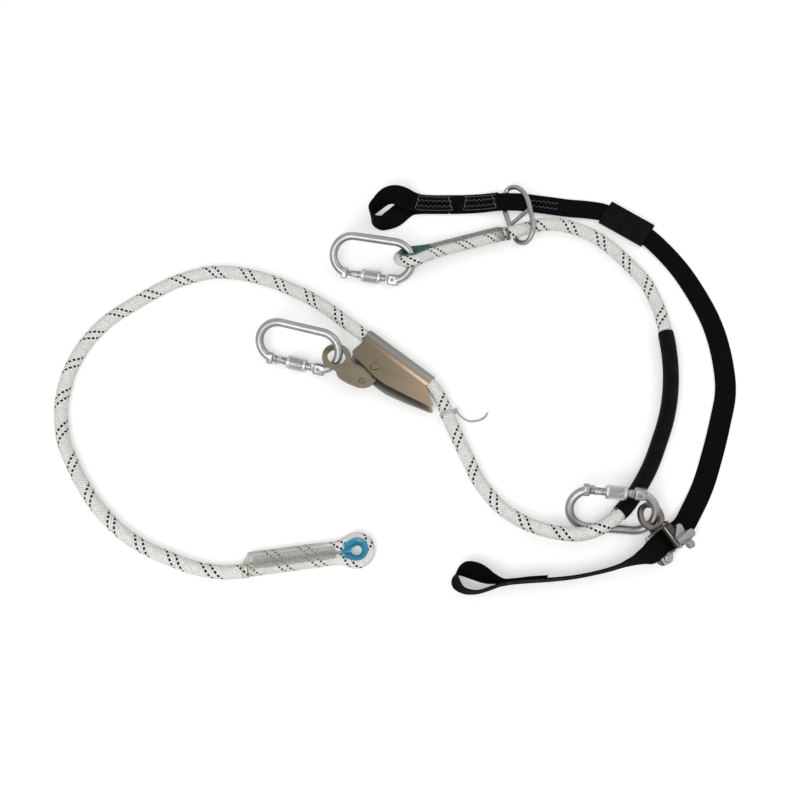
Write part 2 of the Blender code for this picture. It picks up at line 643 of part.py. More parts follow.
def adjuster_lever():
    """The lever: a gripping cam by the rope, a pivot hole, an arm and an eye for the carabiner."""
    rim = arc(LEVER_EYE, EYE_RIM, 33, 302, 18)
    arm = [(-47, -60.6), (-42, -64.2), (-33, -64.6), (-19.3, -61.5), (-11.2, -58), (-5.5, -51.5), (-3, -42),
           (-4, -30), (-6.5, -20)]
    neck = [(-25.5, -17), (-29, -24), (-31, -33), (-33.5, -38.5), (-38, -40.5)]
    outline = rim + [(x * MM, y * MM) for x, y in arm]
    outline += arc(PIVOT, CAM_RADIUS, 68, 112, 6) + [(x * MM, y * MM) for x, y in neck]
    lever = plate(outline, -LEVER_THICK / 2, LEVER_THICK / 2)
    foot = PIVOT[1] + CAM_RADIUS / 2
    cam_outline = [(PIVOT[0] + 8 * MM, foot)] + arc(PIVOT, CAM_RADIUS, 66, 114, 8)
    cam_outline += [(PIVOT[0] - 8 * MM, foot)]
    join(lever, plate(cam_outline, -CAM_THICK / 2, CAM_THICK / 2))
    hub = rod(2 * RIVET_RADIUS, (*PIVOT, -CAM_THICK / 2), (*PIVOT, CAM_THICK / 2), 16)
    join(lever, hub)
    eye = rod(EYE_BORE, (*LEVER_EYE, -10 * MM), (*LEVER_EYE, 10 * MM), 24)
    pivot = rod(RIVET_RADIUS + FIT, (*PIVOT, -10 * MM), (*PIVOT, 10 * MM))
    boss = rod(2.6 * MM, (*LEVER_BOSS, -10 * MM), (*LEVER_BOSS, 10 * MM), 16)
    cut(lever, eye, pivot, boss)
    reach = CAM_RADIUS + 0.3 * MM
    for i in range(5):
        angle = math.radians(74 + i * 8)
        tooth = Vector((PIVOT[0] + reach * math.cos(angle), PIVOT[1] + reach * math.sin(angle), 0.0))
        cut(lever, rod(0.9 * MM, tooth - Vector((0, 0, 6 * MM)), tooth + Vector((0, 0, 6 * MM)), 6))
    return lever


def rivet(spot, radius, low, high):
    """A headed rivet through plates between two heights."""
    shaft = rod(radius, (*spot, low - FIT - MM), (*spot, high + FIT + MM), 12)
    head = 1.5 * radius
    upper = rod(head, (*spot, high + FIT), (*spot, high + FIT + 1.6 * MM), 14, 0.7 * MM)
    lower = rod(head, (*spot, low - FIT - 1.6 * MM), (*spot, low - FIT), 14, 0.7 * MM)
    return join(shaft, upper, lower)


def torsion_spring(centre, radius, wire, low, turns, leg):
    """A flat torsion spring round a pivot."""
    steps = 12
    pitch = 2 * wire + FIT
    points = []
    for i in range(int(turns * steps) + 1):
        angle = math.radians(leg) + 2 * math.pi * i / steps
        height = low + wire + pitch * i / steps
        points.append((centre[0] + radius * math.cos(angle), centre[1] + radius * math.sin(angle), height))
    return tube(points, wire, resolution=1)


def adjuster():
    """The rope adjuster on its straight stretch of rope."""
    along = Vector((0.7849, -0.6197, 0.0))
    tilt = math.radians(ADJUSTER_TILT)
    upward = Vector((0.6197 * math.sin(tilt), 0.7849 * math.sin(tilt), math.cos(tilt)))
    base = frame("adjuster_frame", axes_matrix(Vector((-123.1, 23.3, 10.5)) * MM, along, upward))
    finish(adjuster_shell(), "adjuster_shell", OLIVE_STEEL, base)
    outer = PLATE_GAP / 2 + SHELL_WALL
    finish(rivet(PIVOT, RIVET_RADIUS, -outer, outer), "adjuster_pivot_rivet", OLIVE_STEEL, base)
    pivot = Vector((*PIVOT, 0.0))
    swing = frame("adjuster_lever_pivot", Matrix.Translation(pivot), base)
    finish(adjuster_lever(), "adjuster_lever", OLIVE_STEEL, swing, -pivot)
    half = LEVER_THICK / 2
    finish(rivet(LEVER_BOSS, 2.3 * MM, -half, half), "adjuster_lever_rivet", OLIVE_STEEL, swing, -pivot)
    spring = torsion_spring(PIVOT, 7.2 * MM, 0.4 * MM, half + FIT, 1.25, -60)
    finish(spring, "adjuster_spring", PALE_STEEL, swing, -pivot)


# Cam buckle on the strap

def buckle_base():
    """The plate under the strap, with a cheek at each side that holds the cam's pin."""
    low = STRAP_Z - WEB_THICK / 2 - FIT - BUCKLE_PLATE
    half = WEB_WIDTH / 2 + 1.2 * MM
    left, right = STRAP_X - half - BUCKLE_PLATE, STRAP_X + half + BUCKLE_PLATE
    flange = [(46, -27), (51, -26), (53, -20), (52, -12), (46.2, -8)]
    outline = [(left, -27 * MM)] + [(x * MM, y * MM) for x, y in flange] + [(right, 14 * MM), (left, 14 * MM)]
    base = plate(outline, low, low + BUCKLE_PLATE)
    profile = [(-24, 0), (-20, 5), (-9, 11), (-5, 14), (3, 14), (7, 10), (11, 4), (12, 0)]
    for side in (left, right - BUCKLE_PLATE):
        shift = 0.0 if side == left else 14 * MM
        cheek = [(max(y * MM, -10 * MM) if shift else y * MM, z * MM + (low + 0.4 * MM if z == 0 else 0.0))
                 for y, z in profile]
        stations = [(Vector((x, 0.0, 0.0)), Vector((0.0, 1.0, 0.0)), Vector((0.0, 0.0, 1.0)))
                    for x in (side, side + BUCKLE_PLATE)]
        join(base, sweep(stations, cheek))
    pin = rod(BUCKLE_PIN_RADIUS + FIT, (left - MM, CAM_PIN_Y, CAM_PIN_Z),
              (right + MM, CAM_PIN_Y, CAM_PIN_Z), 14)
    bolt = rod(RIVET_RADIUS + FIT, (*BUCKLE_RIVET, -10 * MM), (*BUCKLE_RIVET, 10 * MM), 14)
    rim_room = LEVER_THICK / 2 + FIT
    rim = rod(BUCKLE_EYE_RIM + FIT, (0.0, 0.0, -rim_room), (0.0, 0.0, rim_room), 32)
    return cut(base, pin, bolt, rim), left, right, low


def buckle_eye(low):
    """The olive eye plate: a ring for the carabiner and a tongue under the strap."""
    half = LEVER_THICK / 2
    ring = rod(BUCKLE_EYE_RIM, (0.0, 0.0, -half), (0.0, 0.0, half), 28)
    top = low - FIT
    tongue = [(8, -12), (15, -13), (38, -29), (50, -28), (52, -14), (32, 7), (14, 12), (8, 12)]
    join(ring, plate([(x * MM, y * MM) for x, y in tongue], top - TONGUE_PLATE, top))
    eye = rod(EYE_BORE, (0.0, 0.0, -10 * MM), (0.0, 0.0, 10 * MM), 24)
    bolt = rod(RIVET_RADIUS + FIT, (*BUCKLE_RIVET, -10 * MM), (*BUCKLE_RIVET, 10 * MM), 14)
    return cut(ring, eye, bolt)


def cam_lever(left, right):
    """The buckle's cam: a roller on the pin that presses the strap, with a thumb tab of three lobes."""
    inside = BUCKLE_PLATE + 0.6 * MM
    radius = CAM_PIN_Z - STRAP_Z - WEB_THICK / 2 - 2 * FIT
    cam = rod(radius, (left + inside, CAM_PIN_Y, CAM_PIN_Z), (right - inside, CAM_PIN_Y, CAM_PIN_Z), 20)
    tips = [(27.5, 7.5), (40.5, 17), (49.5, 6.8)]
    one, two, three = [(x * MM, y * MM) for x, y in tips]
    lobe = 4.6 * MM
    outline = [(32 * MM, -6 * MM)] + arc(one, lobe, 235, 50, 6) + [(34.5 * MM, 10.5 * MM)]
    outline += arc(two, lobe, 170, -10, 6) + [(45.6 * MM, 11 * MM)] + arc(three, lobe, 110, -110, 7)
    outline += [(43 * MM, 0.0), (43 * MM, -6 * MM)]
    tab_low = 15 * MM
    tab = plate(outline, tab_low, tab_low + 5 * MM)
    arm = block((left + inside + MM, -5 * MM, CAM_PIN_Z), (right - inside - MM, 3 * MM, tab_low + 2 * MM))
    join(cam, tab, arm)
    pin = rod(BUCKLE_PIN_RADIUS + FIT, (left, CAM_PIN_Y, CAM_PIN_Z), (right, CAM_PIN_Y, CAM_PIN_Z), 14)
    return cut(cam, pin)


def buckle():
    """The cam buckle that the strap runs through."""
    matrix = axes_matrix(Vector((165.2, -170.0, 18.7)) * MM, (0.594, -0.788, -0.160), (0.408, 0.1045, 1.0))
    base = frame("buckle_frame", matrix)
    body, left, right, low = buckle_base()
    finish(body, "buckle_base", PALE_STEEL, base)
    finish(buckle_eye(low), "buckle_eye_plate", OLIVE_STEEL, base)
    bolt = rivet(BUCKLE_RIVET, RIVET_RADIUS, low - FIT - TONGUE_PLATE, low + BUCKLE_PLATE)
    finish(bolt, "buckle_rivet", PALE_STEEL, base)
    reach = 1.2 * MM
    pin = rod(BUCKLE_PIN_RADIUS, (left - reach, CAM_PIN_Y, CAM_PIN_Z),
              (right + reach, CAM_PIN_Y, CAM_PIN_Z), 14)
    finish(pin, "buckle_cam_pin", PALE_STEEL, base)
    pivot = Vector((STRAP_X, CAM_PIN_Y, CAM_PIN_Z))
    swing = frame("buckle_cam_pivot", Matrix.Translation(pivot), base)
    finish(cam_lever(left, right), "buckle_cam_lever", PALE_STEEL, swing, -pivot)


# Webbing strap: each route point is a place, the lowest edge's height and the lean of the width

LOOP_ONE = [(4, 240.5, 9.3, 180), (-19, 240.5, 4.4, 180), (-45, 240, 3, 180), (-58, 240, 3, 180),
            (-80, 240, 3, 180), (-94, 240, 3.8, 177), (-106, 240.5, 7.2, 168), (-117, 242, 11.4, 153),
            (-128, 243.5, 11.6, 134), (-138, 243, 6.4, 121), (-149, 236, 0.8, 112), (-157.5, 225, 0.5, 102),
            (-155.5, 213.5, 0.5, 88), (-145, 208.5, 0.5, 72), (-134.5, 213.5, 0.5, 52),
            (-126, 220.5, 0.5, 29), (-118, 230, 0.5, 11), (-109, 237, 0.5, 3), (-95, 239.4, 0.5, 0),
            (-80, 239.5, 0.5, 0), (-66, 239.5, 0.5, 0), (-58.7, 239.5, 0.5, 0)]
MAIN = [(-57.7, 239.5, 0.5, 0), (-45, 239.7, 0.6, 0), (-19, 240.5, 1.7, 0), (4, 240.5, 6.8, 0),
        (30, 240.5, 6.8, 0), (60, 238.5, 3.6, 0), (95, 234, 2.4, 0), (120, 231.5, 2.4, 0),
        (138.4, 227.7, 2.4, 0), (152, 219.8, 2.4, 0), (165.6, 210.9, 2.4, 0), (180, 201.6, 2.4, 0),
        (193, 191.5, 2.4, 0), (207, 177, 1.5, 0), (227, 151, 0.5, 0), (246, 116, 0.5, 0), (262, 75, 0.5, 0),
        (270, 31, 0.5, 0), (270, -14, 0.5, 0), (260, -52, 0.5, 0), (247, -92, 0.5, 0), (231, -133, 0.5, 0),
        (216, -160, 2.5, -4), (202, -180.6, 6.2, -9.6), (184, -193.4, 13.3, -9.6),
        (169.8, -205.6, 20.3, -9.6), (162, -212.3, 24.1, -10.5), (154.5, -217, 19.5, -40),
        (146, -220.5, 12.6, -66), (133, -224.4, 5.2, -83), (118, -229, 1.6, -88), (102, -233, 0.6, -90),
        (77, -238, 0.5, -91), (52, -240.9, 0.5, -91), (26, -242.5, 0.5, -90), (2, -244.7, 0.5, -90),
        (-8, -246.5, 0.5, -90)]
LOOP_TWO = [(-8.5, -246.6, 0.5, -90), (-20, -251, 0.5, -90), (-37, -255.3, 0.5, -90), (-51, -252.5, 0.5, -83),
            (-58.5, -243.5, 0.5, -72), (-57, -233.5, 0.5, -90), (-48, -229, 0.5, -120),
            (-36, -231, 0.5, -133), (-24, -236.3, 0.5, -123), (-14, -240.6, 0.5, -103), (-5, -242.8, 0.5, -91),
            (4, -242.1, 0.5, -89), (26, -239.9, 0.5, -90), (44, -238.6, 0.5, -89)]


def web_stations(route, count):
    """Stations along webbing: the width direction leans by an angle from the ground."""
    level = []
    for x, y, lift, lean in route:
        angle = math.radians(lean)
        rise = WEB_WIDTH / 2 * abs(math.sin(angle)) + WEB_THICK / 2 * abs(math.cos(angle))
        level.append((x * MM, y * MM, lift * MM + rise, lean))
    points = smooth(level, count)
    stations = []
    for (place, across, up), point in zip(travel_stations(points), points):
        angle = math.radians(point[3])
        wide = across * math.cos(angle) + up * math.sin(angle)
        stations.append((place, wide, up * math.cos(angle) - across * math.sin(angle)))
    return stations


def webbing(route, count):
    """A length of webbing along a route."""
    half, thick = WEB_WIDTH / 2, WEB_THICK / 2
    section = [(-half, -thick), (half, -thick), (half, thick), (-half, thick)]
    return sweep(web_stations(route, count), section)


def strap():
    """The strap and the two sewn loops at its ends."""
    finish(webbing(MAIN, 76), "strap", BLACK_WEBBING)
    finish(webbing(LOOP_ONE, 56), "strap_loop_upper", BLACK_WEBBING)
    finish(webbing(LOOP_TWO, 50), "strap_loop_lower", BLACK_WEBBING)


def keeper():
    """The flat plastic tube that slides on the strap."""
    centre = Vector((165.6, 210.9, 0.05)) * MM
    along = Vector((55.0, -36.0, 0.0))
    base = frame("keeper_frame", axes_matrix(centre, along, (0.0, 0.0, 1.0)))
    half = KEEPER_LENGTH / 2
    wide = KEEPER_WIDTH / 2
    body = block((-half, -wide, 0.0), (half, wide, KEEPER_HEIGHT), 1.5 * MM)
    wall = KEEPER_WALL
    hollow = block((-half - MM, wall - wide, wall), (half + MM, wide - wall, KEEPER_HEIGHT - wall))
    finish(cut(body, hollow), "keeper", BLACK_PLASTIC, base)


def ring():
    """The steel wire ring round strap and rope, with a slanted crossbar between them."""
    route = [(24, 258.3, 14), (32, 250, 21.8), (38, 236, 26.4), (41.5, 219, 27.2), (44, 203, 27.4),
             (43.3, 188.2, 22.2), (36.3, 181.2, 12.6), (28, 185, 5.8), (22, 198, 3.4), (17, 213, 3.3),
             (12.5, 230, 3.3), (11.5, 245, 3.3), (13, 253.6, 3.8), (17.5, 259.3, 8)]
    body = solid(tube(smooth(metres(route), 32, closed=True), RING_WIRE, closed=True))
    bar = rod(CROSSBAR_WIRE, (42 * MM, 222 * MM, 26 * MM), (18 * MM, 209.5 * MM, 2.8 * MM), 12)
    centre = Vector((27, 219, 14)) * MM
    base = frame("ring_frame", Matrix.Translation(centre))
    finish(join(body, bar), "connecting_ring", WIRE_STEEL, base, -centre)


def build():
    """Builds the whole part."""
    rope_and_guard()
    lower = axes_matrix(Vector((-170, -207, 8.9)) * MM, (0.9914, 0.1308, 0.0062), (0.0, 0.0, 1.0))
    sewn_eye("lower", lower, EYE_SLEEVE_END, EYE_HOLE_RADIUS, BLUE_PLASTIC)
    upper = axes_matrix(Vector((-106.9, 156.9, 22.1)) * MM, (-0.951, -0.308, 0.0795), (0.218, -0.673, -0.707))
    sewn_eye("upper", upper, EYE_B_SLEEVE_END, EYE_B_HOLE_RADIUS, GREEN_PLASTIC)
    carabiner("upper", (-101.61, 147.77, 18.1), -9.3, 27.8)
    carabiner("middle", (-189.80, 25.04, 21.4), -14.0, 37.8)
    carabiner("lower", (175.21, -167.62, 20.4), -4.8, 39.7 + 180)
    adjuster()
    buckle()
    strap()
    keeper()
    ring()


clear_scene()
PARTS = collection("pole_climbing_strap")
CUTTERS = collection("cutters")
ROOT = frame("root", Matrix.Translation(CENTRE_SHIFT))
build()
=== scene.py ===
"""The looks of a pole climbing strap that is laid out flat on a pale floor.

A braided rope with a sewn eye at each end carries a gripping rope adjuster, a black guard and a cable
tie. A black webbing strap with two sewn loops carries a keeper, a wire ring and a cam buckle. Three oval
screw-lock carabiners hang in the rope's upper eye, in the adjuster's lever and in the buckle.

Sizes are in metres. Routes are written in millimetres and are the same as the ones that the solids follow.
"""
from __future__ import annotations

import logging
import math
import random
from abc import ABC, abstractmethod
from dataclasses import dataclass, field
from enum import Enum
from typing import Callable, Iterable, Sequence

import bmesh
import bpy
from bmesh.types import BMesh, BMVert
from bpy.types import ID, Material, Mesh, Node, NodeSocket, NodeTree, Object
from mathutils import Euler, Matrix, Vector


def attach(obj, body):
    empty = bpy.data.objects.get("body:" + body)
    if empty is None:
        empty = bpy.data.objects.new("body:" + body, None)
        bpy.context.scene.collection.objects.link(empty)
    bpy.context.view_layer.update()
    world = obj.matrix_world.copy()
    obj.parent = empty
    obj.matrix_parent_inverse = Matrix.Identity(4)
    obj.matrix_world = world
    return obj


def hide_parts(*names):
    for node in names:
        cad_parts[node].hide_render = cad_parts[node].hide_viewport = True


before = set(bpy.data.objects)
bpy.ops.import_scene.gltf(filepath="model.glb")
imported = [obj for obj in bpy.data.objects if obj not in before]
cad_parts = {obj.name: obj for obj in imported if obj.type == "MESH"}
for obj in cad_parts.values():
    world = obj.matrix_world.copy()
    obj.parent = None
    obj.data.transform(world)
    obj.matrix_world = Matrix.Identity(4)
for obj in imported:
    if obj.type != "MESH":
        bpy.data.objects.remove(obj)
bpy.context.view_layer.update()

LOG = logging.getLogger("climbing_strap")
MM = 0.001
FIT = 0.3 * MM
CENTRE_SHIFT = Vector((5.7, -3.3, 0.0)) * MM
UP = Vector((0.0, 0.0, 1.0))
WELD = 0.004 * MM
FLAT_ANGLE = math.radians(0.5)
SHARP_ANGLE = math.radians(38)

Point = tuple[float, float]
Route = Sequence[Sequence[float]]
Station = tuple[Vector, Vector, Vector]
Colour = tuple[float, float, float]

ROPE_ROUTE = [(-293, -230.2, 8.2), (-318, -232, 8.2), (-345, -229, 8.2), (-384, -216, 8.2), (-430, -193, 8.2),
              (-471, -155, 8.2), (-500, -112, 8.2), (-517, -76, 8.2), (-524, -26, 8.2), (-516, 18, 8.2),
              (-488, 66, 8.2), (-439, 105, 8.2), (-393, 131, 8.2), (-351, 142, 8.2), (-307, 137.5, 8.2),
              (-254, 118, 9), (-218, 97.5, 10.4), (-188.3, 74.8, 10.5), (-170.2, 60.5, 10.5),
              (-123.1, 23.3, 10.5), (-99.6, 4.7, 10.5), (-87.8, -4.6, 10.5), (-81, -11, 10.5),
              (-70, -31, 10.2), (-58, -62, 9.6), (-45, -91, 8.6), (-30, -124, 8.4), (-8, -154, 9.5),
              (17, -173, 12), (39, -183, 14.5), (62, -189, 17), (87, -190, 18.8), (111, -181, 19),
              (132, -164, 16.4), (155, -135, 11.8), (171, -108, 10.2), (183, -80, 10.2), (195, -47, 10.2),
              (202, -14, 10.2), (204.5, 18, 10.2), (203, 51, 10.2), (197, 90, 8.6), (186, 122, 8.2),
              (160, 157, 8.2), (130, 186, 8.8), (93, 203, 11.5), (62, 206, 13.2), (32, 197.6, 14.9),
              (6.9, 188.7, 17.6)]

LOOP_ONE = [(4, 240.5, 9.3, 180), (-19, 240.5, 4.4, 180), (-45, 240, 3, 180), (-58, 240, 3, 180),
            (-80, 240, 3, 180), (-94, 240, 3.8, 177), (-106, 240.5, 7.2, 168), (-117, 242, 11.4, 153),
            (-128, 243.5, 11.6, 134), (-138, 243, 6.4, 121), (-149, 236, 0.8, 112), (-157.5, 225, 0.5, 102),
            (-155.5, 213.5, 0.5, 88), (-145, 208.5, 0.5, 72), (-134.5, 213.5, 0.5, 52),
            (-126, 220.5, 0.5, 29), (-118, 230, 0.5, 11), (-109, 237, 0.5, 3), (-95, 239.4, 0.5, 0),
            (-80, 239.5, 0.5, 0), (-66, 239.5, 0.5, 0), (-58.7, 239.5, 0.5, 0)]
MAIN = [(-57.7, 239.5, 0.5, 0), (-45, 239.7, 0.6, 0), (-19, 240.5, 1.7, 0), (4, 240.5, 6.8, 0),
        (30, 240.5, 6.8, 0), (60, 238.5, 3.6, 0), (95, 234, 2.4, 0), (120, 231.5, 2.4, 0),
        (138.4, 227.7, 2.4, 0), (152, 219.8, 2.4, 0), (165.6, 210.9, 2.4, 0), (180, 201.6, 2.4, 0),
        (193, 191.5, 2.4, 0), (207, 177, 1.5, 0), (227, 151, 0.5, 0), (246, 116, 0.5, 0), (262, 75, 0.5, 0),
        (270, 31, 0.5, 0), (270, -14, 0.5, 0), (260, -52, 0.5, 0), (247, -92, 0.5, 0), (231, -133, 0.5, 0),
        (216, -160, 2.5, -4), (202, -180.6, 6.2, -9.6), (184, -193.4, 13.3, -9.6),
        (169.8, -205.6, 20.3, -9.6), (162, -212.3, 24.1, -10.5), (154.5, -217, 19.5, -40),
        (146, -220.5, 12.6, -66), (133, -224.4, 5.2, -83), (118, -229, 1.6, -88), (102, -233, 0.6, -90),
        (77, -238, 0.5, -91), (52, -240.9, 0.5, -91), (26, -242.5, 0.5, -90), (2, -244.7, 0.5, -90),
        (-8, -246.5, 0.5, -90)]
LOOP_TWO = [(-8.5, -246.6, 0.5, -90), (-20, -251, 0.5, -90), (-37, -255.3, 0.5, -90), (-51, -252.5, 0.5, -83),
            (-58.5, -243.5, 0.5, -72), (-57, -233.5, 0.5, -90), (-48, -229, 0.5, -120),
            (-36, -231, 0.5, -133), (-24, -236.3, 0.5, -123), (-14, -240.6, 0.5, -103),
            (-5, -242.8, 0.5, -91), (4, -242.1, 0.5, -89), (26, -239.9, 0.5, -90), (44, -238.6, 0.5, -89)]


# Paths and places


def arc(centre: Point, radius: float, start: float, end: float, steps: int) -> list[Point]:
    """Points of an arc.

    Args:
        centre: The arc's centre.
        radius: Its radius.
        start: The first angle, in degrees.
        end: The last angle, in degrees.
        steps: The number of chords.

    Returns:
        The points from start to end.
    """
    angles = [math.radians(start + (end - start) * i / steps) for i in range(steps + 1)]
    return [(centre[0] + radius * math.cos(a), centre[1] + radius * math.sin(a)) for a in angles]


def in_mm(outline: Sequence[Point]) -> list[Point]:
    """Turns an outline in millimetres into metres."""
    return [(x * MM, y * MM) for x, y in outline]


def metres(route: Route) -> list[list[float]]:
    """A route in metres, moved to the part's origin, with any angle after the place left as it is."""
    return [[x * MM + CENTRE_SHIFT.x, y * MM + CENTRE_SHIFT.y, z * MM, *rest] for x, y, z, *rest in route]


def slope(before: float, here: float, after: float, near: float, far: float) -> float:
    """The rate of change at a point of a route.

    Args:
        before: The value at the point before.
        here: The value at the point.
        after: The value at the point after.
        near: The distance from the point before.
        far: The distance to the point after.

    Returns:
        The rate, weighted towards the nearer neighbour.
    """
    if near <= 1e-6:
        return (after - here) / far
    if far <= 1e-6:
        return (here - before) / near
    return ((here - before) / near * far + (after - here) / far * near) / (near + far)


def running(points: Route) -> list[float]:
    """The length of a line up to each of its points."""
    lengths = [0.0]
    for near, far in zip(points, points[1:]):
        lengths.append(lengths[-1] + math.dist(near[:3], far[:3]))
    return lengths


def smooth(route: Route, count: int, closed: bool = False) -> list[list[float]]:
    """Evenly spaced points on a smooth curve through a route.

    Args:
        route: The points, which may carry more values after their place.
        count: The number of points wanted.
        closed: Whether the route runs back to its start.

    Returns:
        The points, with their other values.
    """
    size = len(route)

    def value(i: int) -> Sequence[float]:
        """The route's point of that number, held at the ends of an open route."""
        return route[i % size] if closed else route[min(max(i, 0), size - 1)]

    dense: list[list[float]] = []
    spans = size if closed else size - 1
    steps = 16
    for i in range(spans):
        a, b, c, d = (value(i + k) for k in (-1, 0, 1, 2))
        ab, bc, cd = math.dist(a[:3], b[:3]), math.dist(b[:3], c[:3]), math.dist(c[:3], d[:3])
        rates = [(slope(p, q, r, ab, bc) * bc, slope(q, r, s, bc, cd) * bc) for p, q, r, s in zip(a, b, c, d)]
        for k in range(steps):
            t = k / steps
            rise = 3 * t ** 2 - 2 * t ** 3
            leave, reach = t ** 3 - 2 * t ** 2 + t, t ** 3 - t ** 2
            dense.append([(1 - rise) * q + leave * out + rise * r + reach * into
                          for q, r, (out, into) in zip(b, c, rates)])
    dense.append(list(value(spans)))
    lengths = running(dense)
    points: list[list[float]] = []
    index = 0
    wanted = count if closed else count - 1
    for k in range(count):
        goal = lengths[-1] * k / wanted
        while index < len(lengths) - 2 and lengths[index + 1] < goal:
            index += 1
        share = (goal - lengths[index]) / max(lengths[index + 1] - lengths[index], 1e-12)
        points.append([p + (q - p) * share for p, q in zip(dense[index], dense[index + 1])])
    return points


def run_length(points: Route, closed: bool = False) -> float:
    """The length of a line of points."""
    return running([*points, points[0]] if closed else points)[-1]


def placed(origin: Sequence[float], x_axis: Sequence[float], z_hint: Sequence[float]) -> Matrix:
    """A placing matrix.

    Args:
        origin: The place, in millimetres, before the shift to the part's origin.
        x_axis: The direction of X.
        z_hint: A direction near Z.

    Returns:
        The matrix from the local frame to the part's frame.
    """
    x = Vector(x_axis).normalized()
    y = Vector(z_hint).cross(x).normalized()
    matrix = Matrix((x, y, x.cross(y))).transposed().to_4x4()
    matrix.translation = Vector(origin) * MM + CENTRE_SHIFT
    return matrix


def travel(points: Route, closed: bool = False) -> list[Station]:
    """Sections square to a line, without twist.

    Args:
        points: The line's points.
        closed: Whether it runs back to its start.

    Returns:
        For each point its place and two directions across the line, the first one level at the start.
    """
    count = len(points)
    places = [Vector(point[:3]) for point in points]
    stations: list[Station] = []
    side = Vector()
    for i, place in enumerate(places):
        before = places[(i - 1) % count] if closed else places[max(i - 1, 0)]
        after = places[(i + 1) % count] if closed else places[min(i + 1, count - 1)]
        along = (after - before).normalized()
        if i == 0:
            side = UP.cross(along)
            side = side if side.length > 0.01 else Vector((1.0, 0.0, 0.0))
        side = (side - along * side.dot(along)).normalized()
        stations.append((place, side, along.cross(side)))
    return stations


def level_travel(points: Route) -> list[Station]:
    """Sections square to a line, each with its first direction level."""
    stations: list[Station] = []
    for i, point in enumerate(points):
        before, after = points[max(i - 1, 0)], points[min(i + 1, len(points) - 1)]
        along = (Vector(after[:3]) - Vector(before[:3])).normalized()
        across = UP.cross(along).normalized()
        stations.append((Vector(point[:3]), across, along.cross(across)))
    return stations


def along_x(places: Iterable[float]) -> list[Station]:
    """Sections square to X, each with its first direction along Y."""
    return [(Vector((x, 0.0, 0.0)), Vector((0.0, 1.0, 0.0)), UP.copy()) for x in places]


# Meshes


def linked(name: str, data: ID) -> Object:
    """A new object in the scene."""
    obj = bpy.data.objects.new(name, data)
    bpy.context.scene.collection.objects.link(obj)
    return obj


def loose(bm: BMesh, name: str = "shape") -> Mesh:
    """Turns a bmesh into a mesh."""
    mesh = bpy.data.meshes.new(name)
    bm.to_mesh(mesh)
    bm.free()
    return mesh


def mesh_object(bm: BMesh, name: str = "shape") -> Object:
    """Turns a bmesh into an object in the scene."""
    return linked(name, loose(bm, name))


def loft(stations: Sequence[Station], section: Sequence[Point] | Callable[[int], Sequence[Point]],
         closed: bool = False, caps: bool = True,
         across: Callable[[int], float] | None = None) -> BMesh:
    """Lofts a closed section along stations, with a UV map: round the section, and metres along.

    Args:
        stations: The places and their two cross directions.
        section: The section, or a function that gives it for a station's number.
        closed: Whether the last station joins the first.
        caps: Whether open ends are filled.
        across: The U value of a corner of the section, where it isn't its share of the way round.

    Returns:
        The mesh.
    """
    bm = bmesh.new()
    layer = bm.loops.layers.uv.new("surface")
    rings: list[list[BMVert]] = []
    for i, (place, side, up) in enumerate(stations):
        outline = section(i) if callable(section) else section
        rings.append([bm.verts.new(place + side * a + up * b) for a, b in outline])
    places = [place for place, _, _ in stations]
    lengths = running(places + places[:1])
    count, size = len(rings[0]), len(rings)
    for i in range(size if closed else size - 1):
        near, far = rings[i], rings[(i + 1) % size]
        for k in range(count):
            j = (k + 1) % count
            face = bm.faces.new((near[k], near[j], far[j], far[k]))
            u_k, u_j = (across(k), across(j)) if across else (k / count, (k + 1) / count)
            for loop, u, v in zip(face.loops, (u_k, u_j, u_j, u_k), (0, 0, 1, 1)):
                loop[layer].uv = (u, lengths[i + v])
    if caps and not closed:
        bm.faces.new(list(reversed(rings[0])))
        bm.faces.new(rings[-1])
    bmesh.ops.recalc_face_normals(bm, faces=bm.faces)
    return bm


def circle(radius: float, sides: int) -> list[Point]:
    """A round section."""
    return arc((0.0, 0.0), radius, 0, 360 - 360 / sides, sides - 1)


def tube(points: Route, radius: float, sides: int = 24, closed: bool = False) -> Object:
    """A round bar along a line of points."""
    return mesh_object(loft(travel(points, closed), circle(radius, sides), closed))


def rod(radius: float, start: Sequence[float], end: Sequence[float], sides: int = 40) -> Object:
    """A cylinder between two points."""
    begin, finish = Vector(start), Vector(end)
    run = finish - begin
    bm = bmesh.new()
    bmesh.ops.create_cone(bm, cap_ends=True, segments=sides, radius1=radius, radius2=radius, depth=run.length)
    turn = run.to_track_quat("Z", "Y").to_matrix().to_4x4()
    bmesh.ops.transform(bm, matrix=Matrix.Translation((begin + finish) / 2) @ turn, verts=bm.verts)
    return mesh_object(bm)


def turned(profile: Sequence[Point], start: Sequence[float], direction: Sequence[float],
           sides: int = 48) -> Object:
    """A shape turned on a lathe.

    Args:
        profile: Distances along the axis with their radii; the first and last radius close the ends.
        start: Where the axis starts.
        direction: The axis.
        sides: The number of sides.

    Returns:
        The object.
    """
    along = Vector(direction).normalized()
    side = along.orthogonal().normalized()
    up = along.cross(side)
    origin = Vector(start)
    stations = [(origin + along * x, side, up) for x, _ in profile]
    return mesh_object(loft(stations, lambda i: circle(profile[i][1], sides)))


def upright(radius: float, spot: Point, reach: float, sides: int = 40) -> Object:
    """A cylinder along Z that reaches as far above a spot as below it."""
    return rod(radius, (*spot, -reach), (*spot, reach), sides)


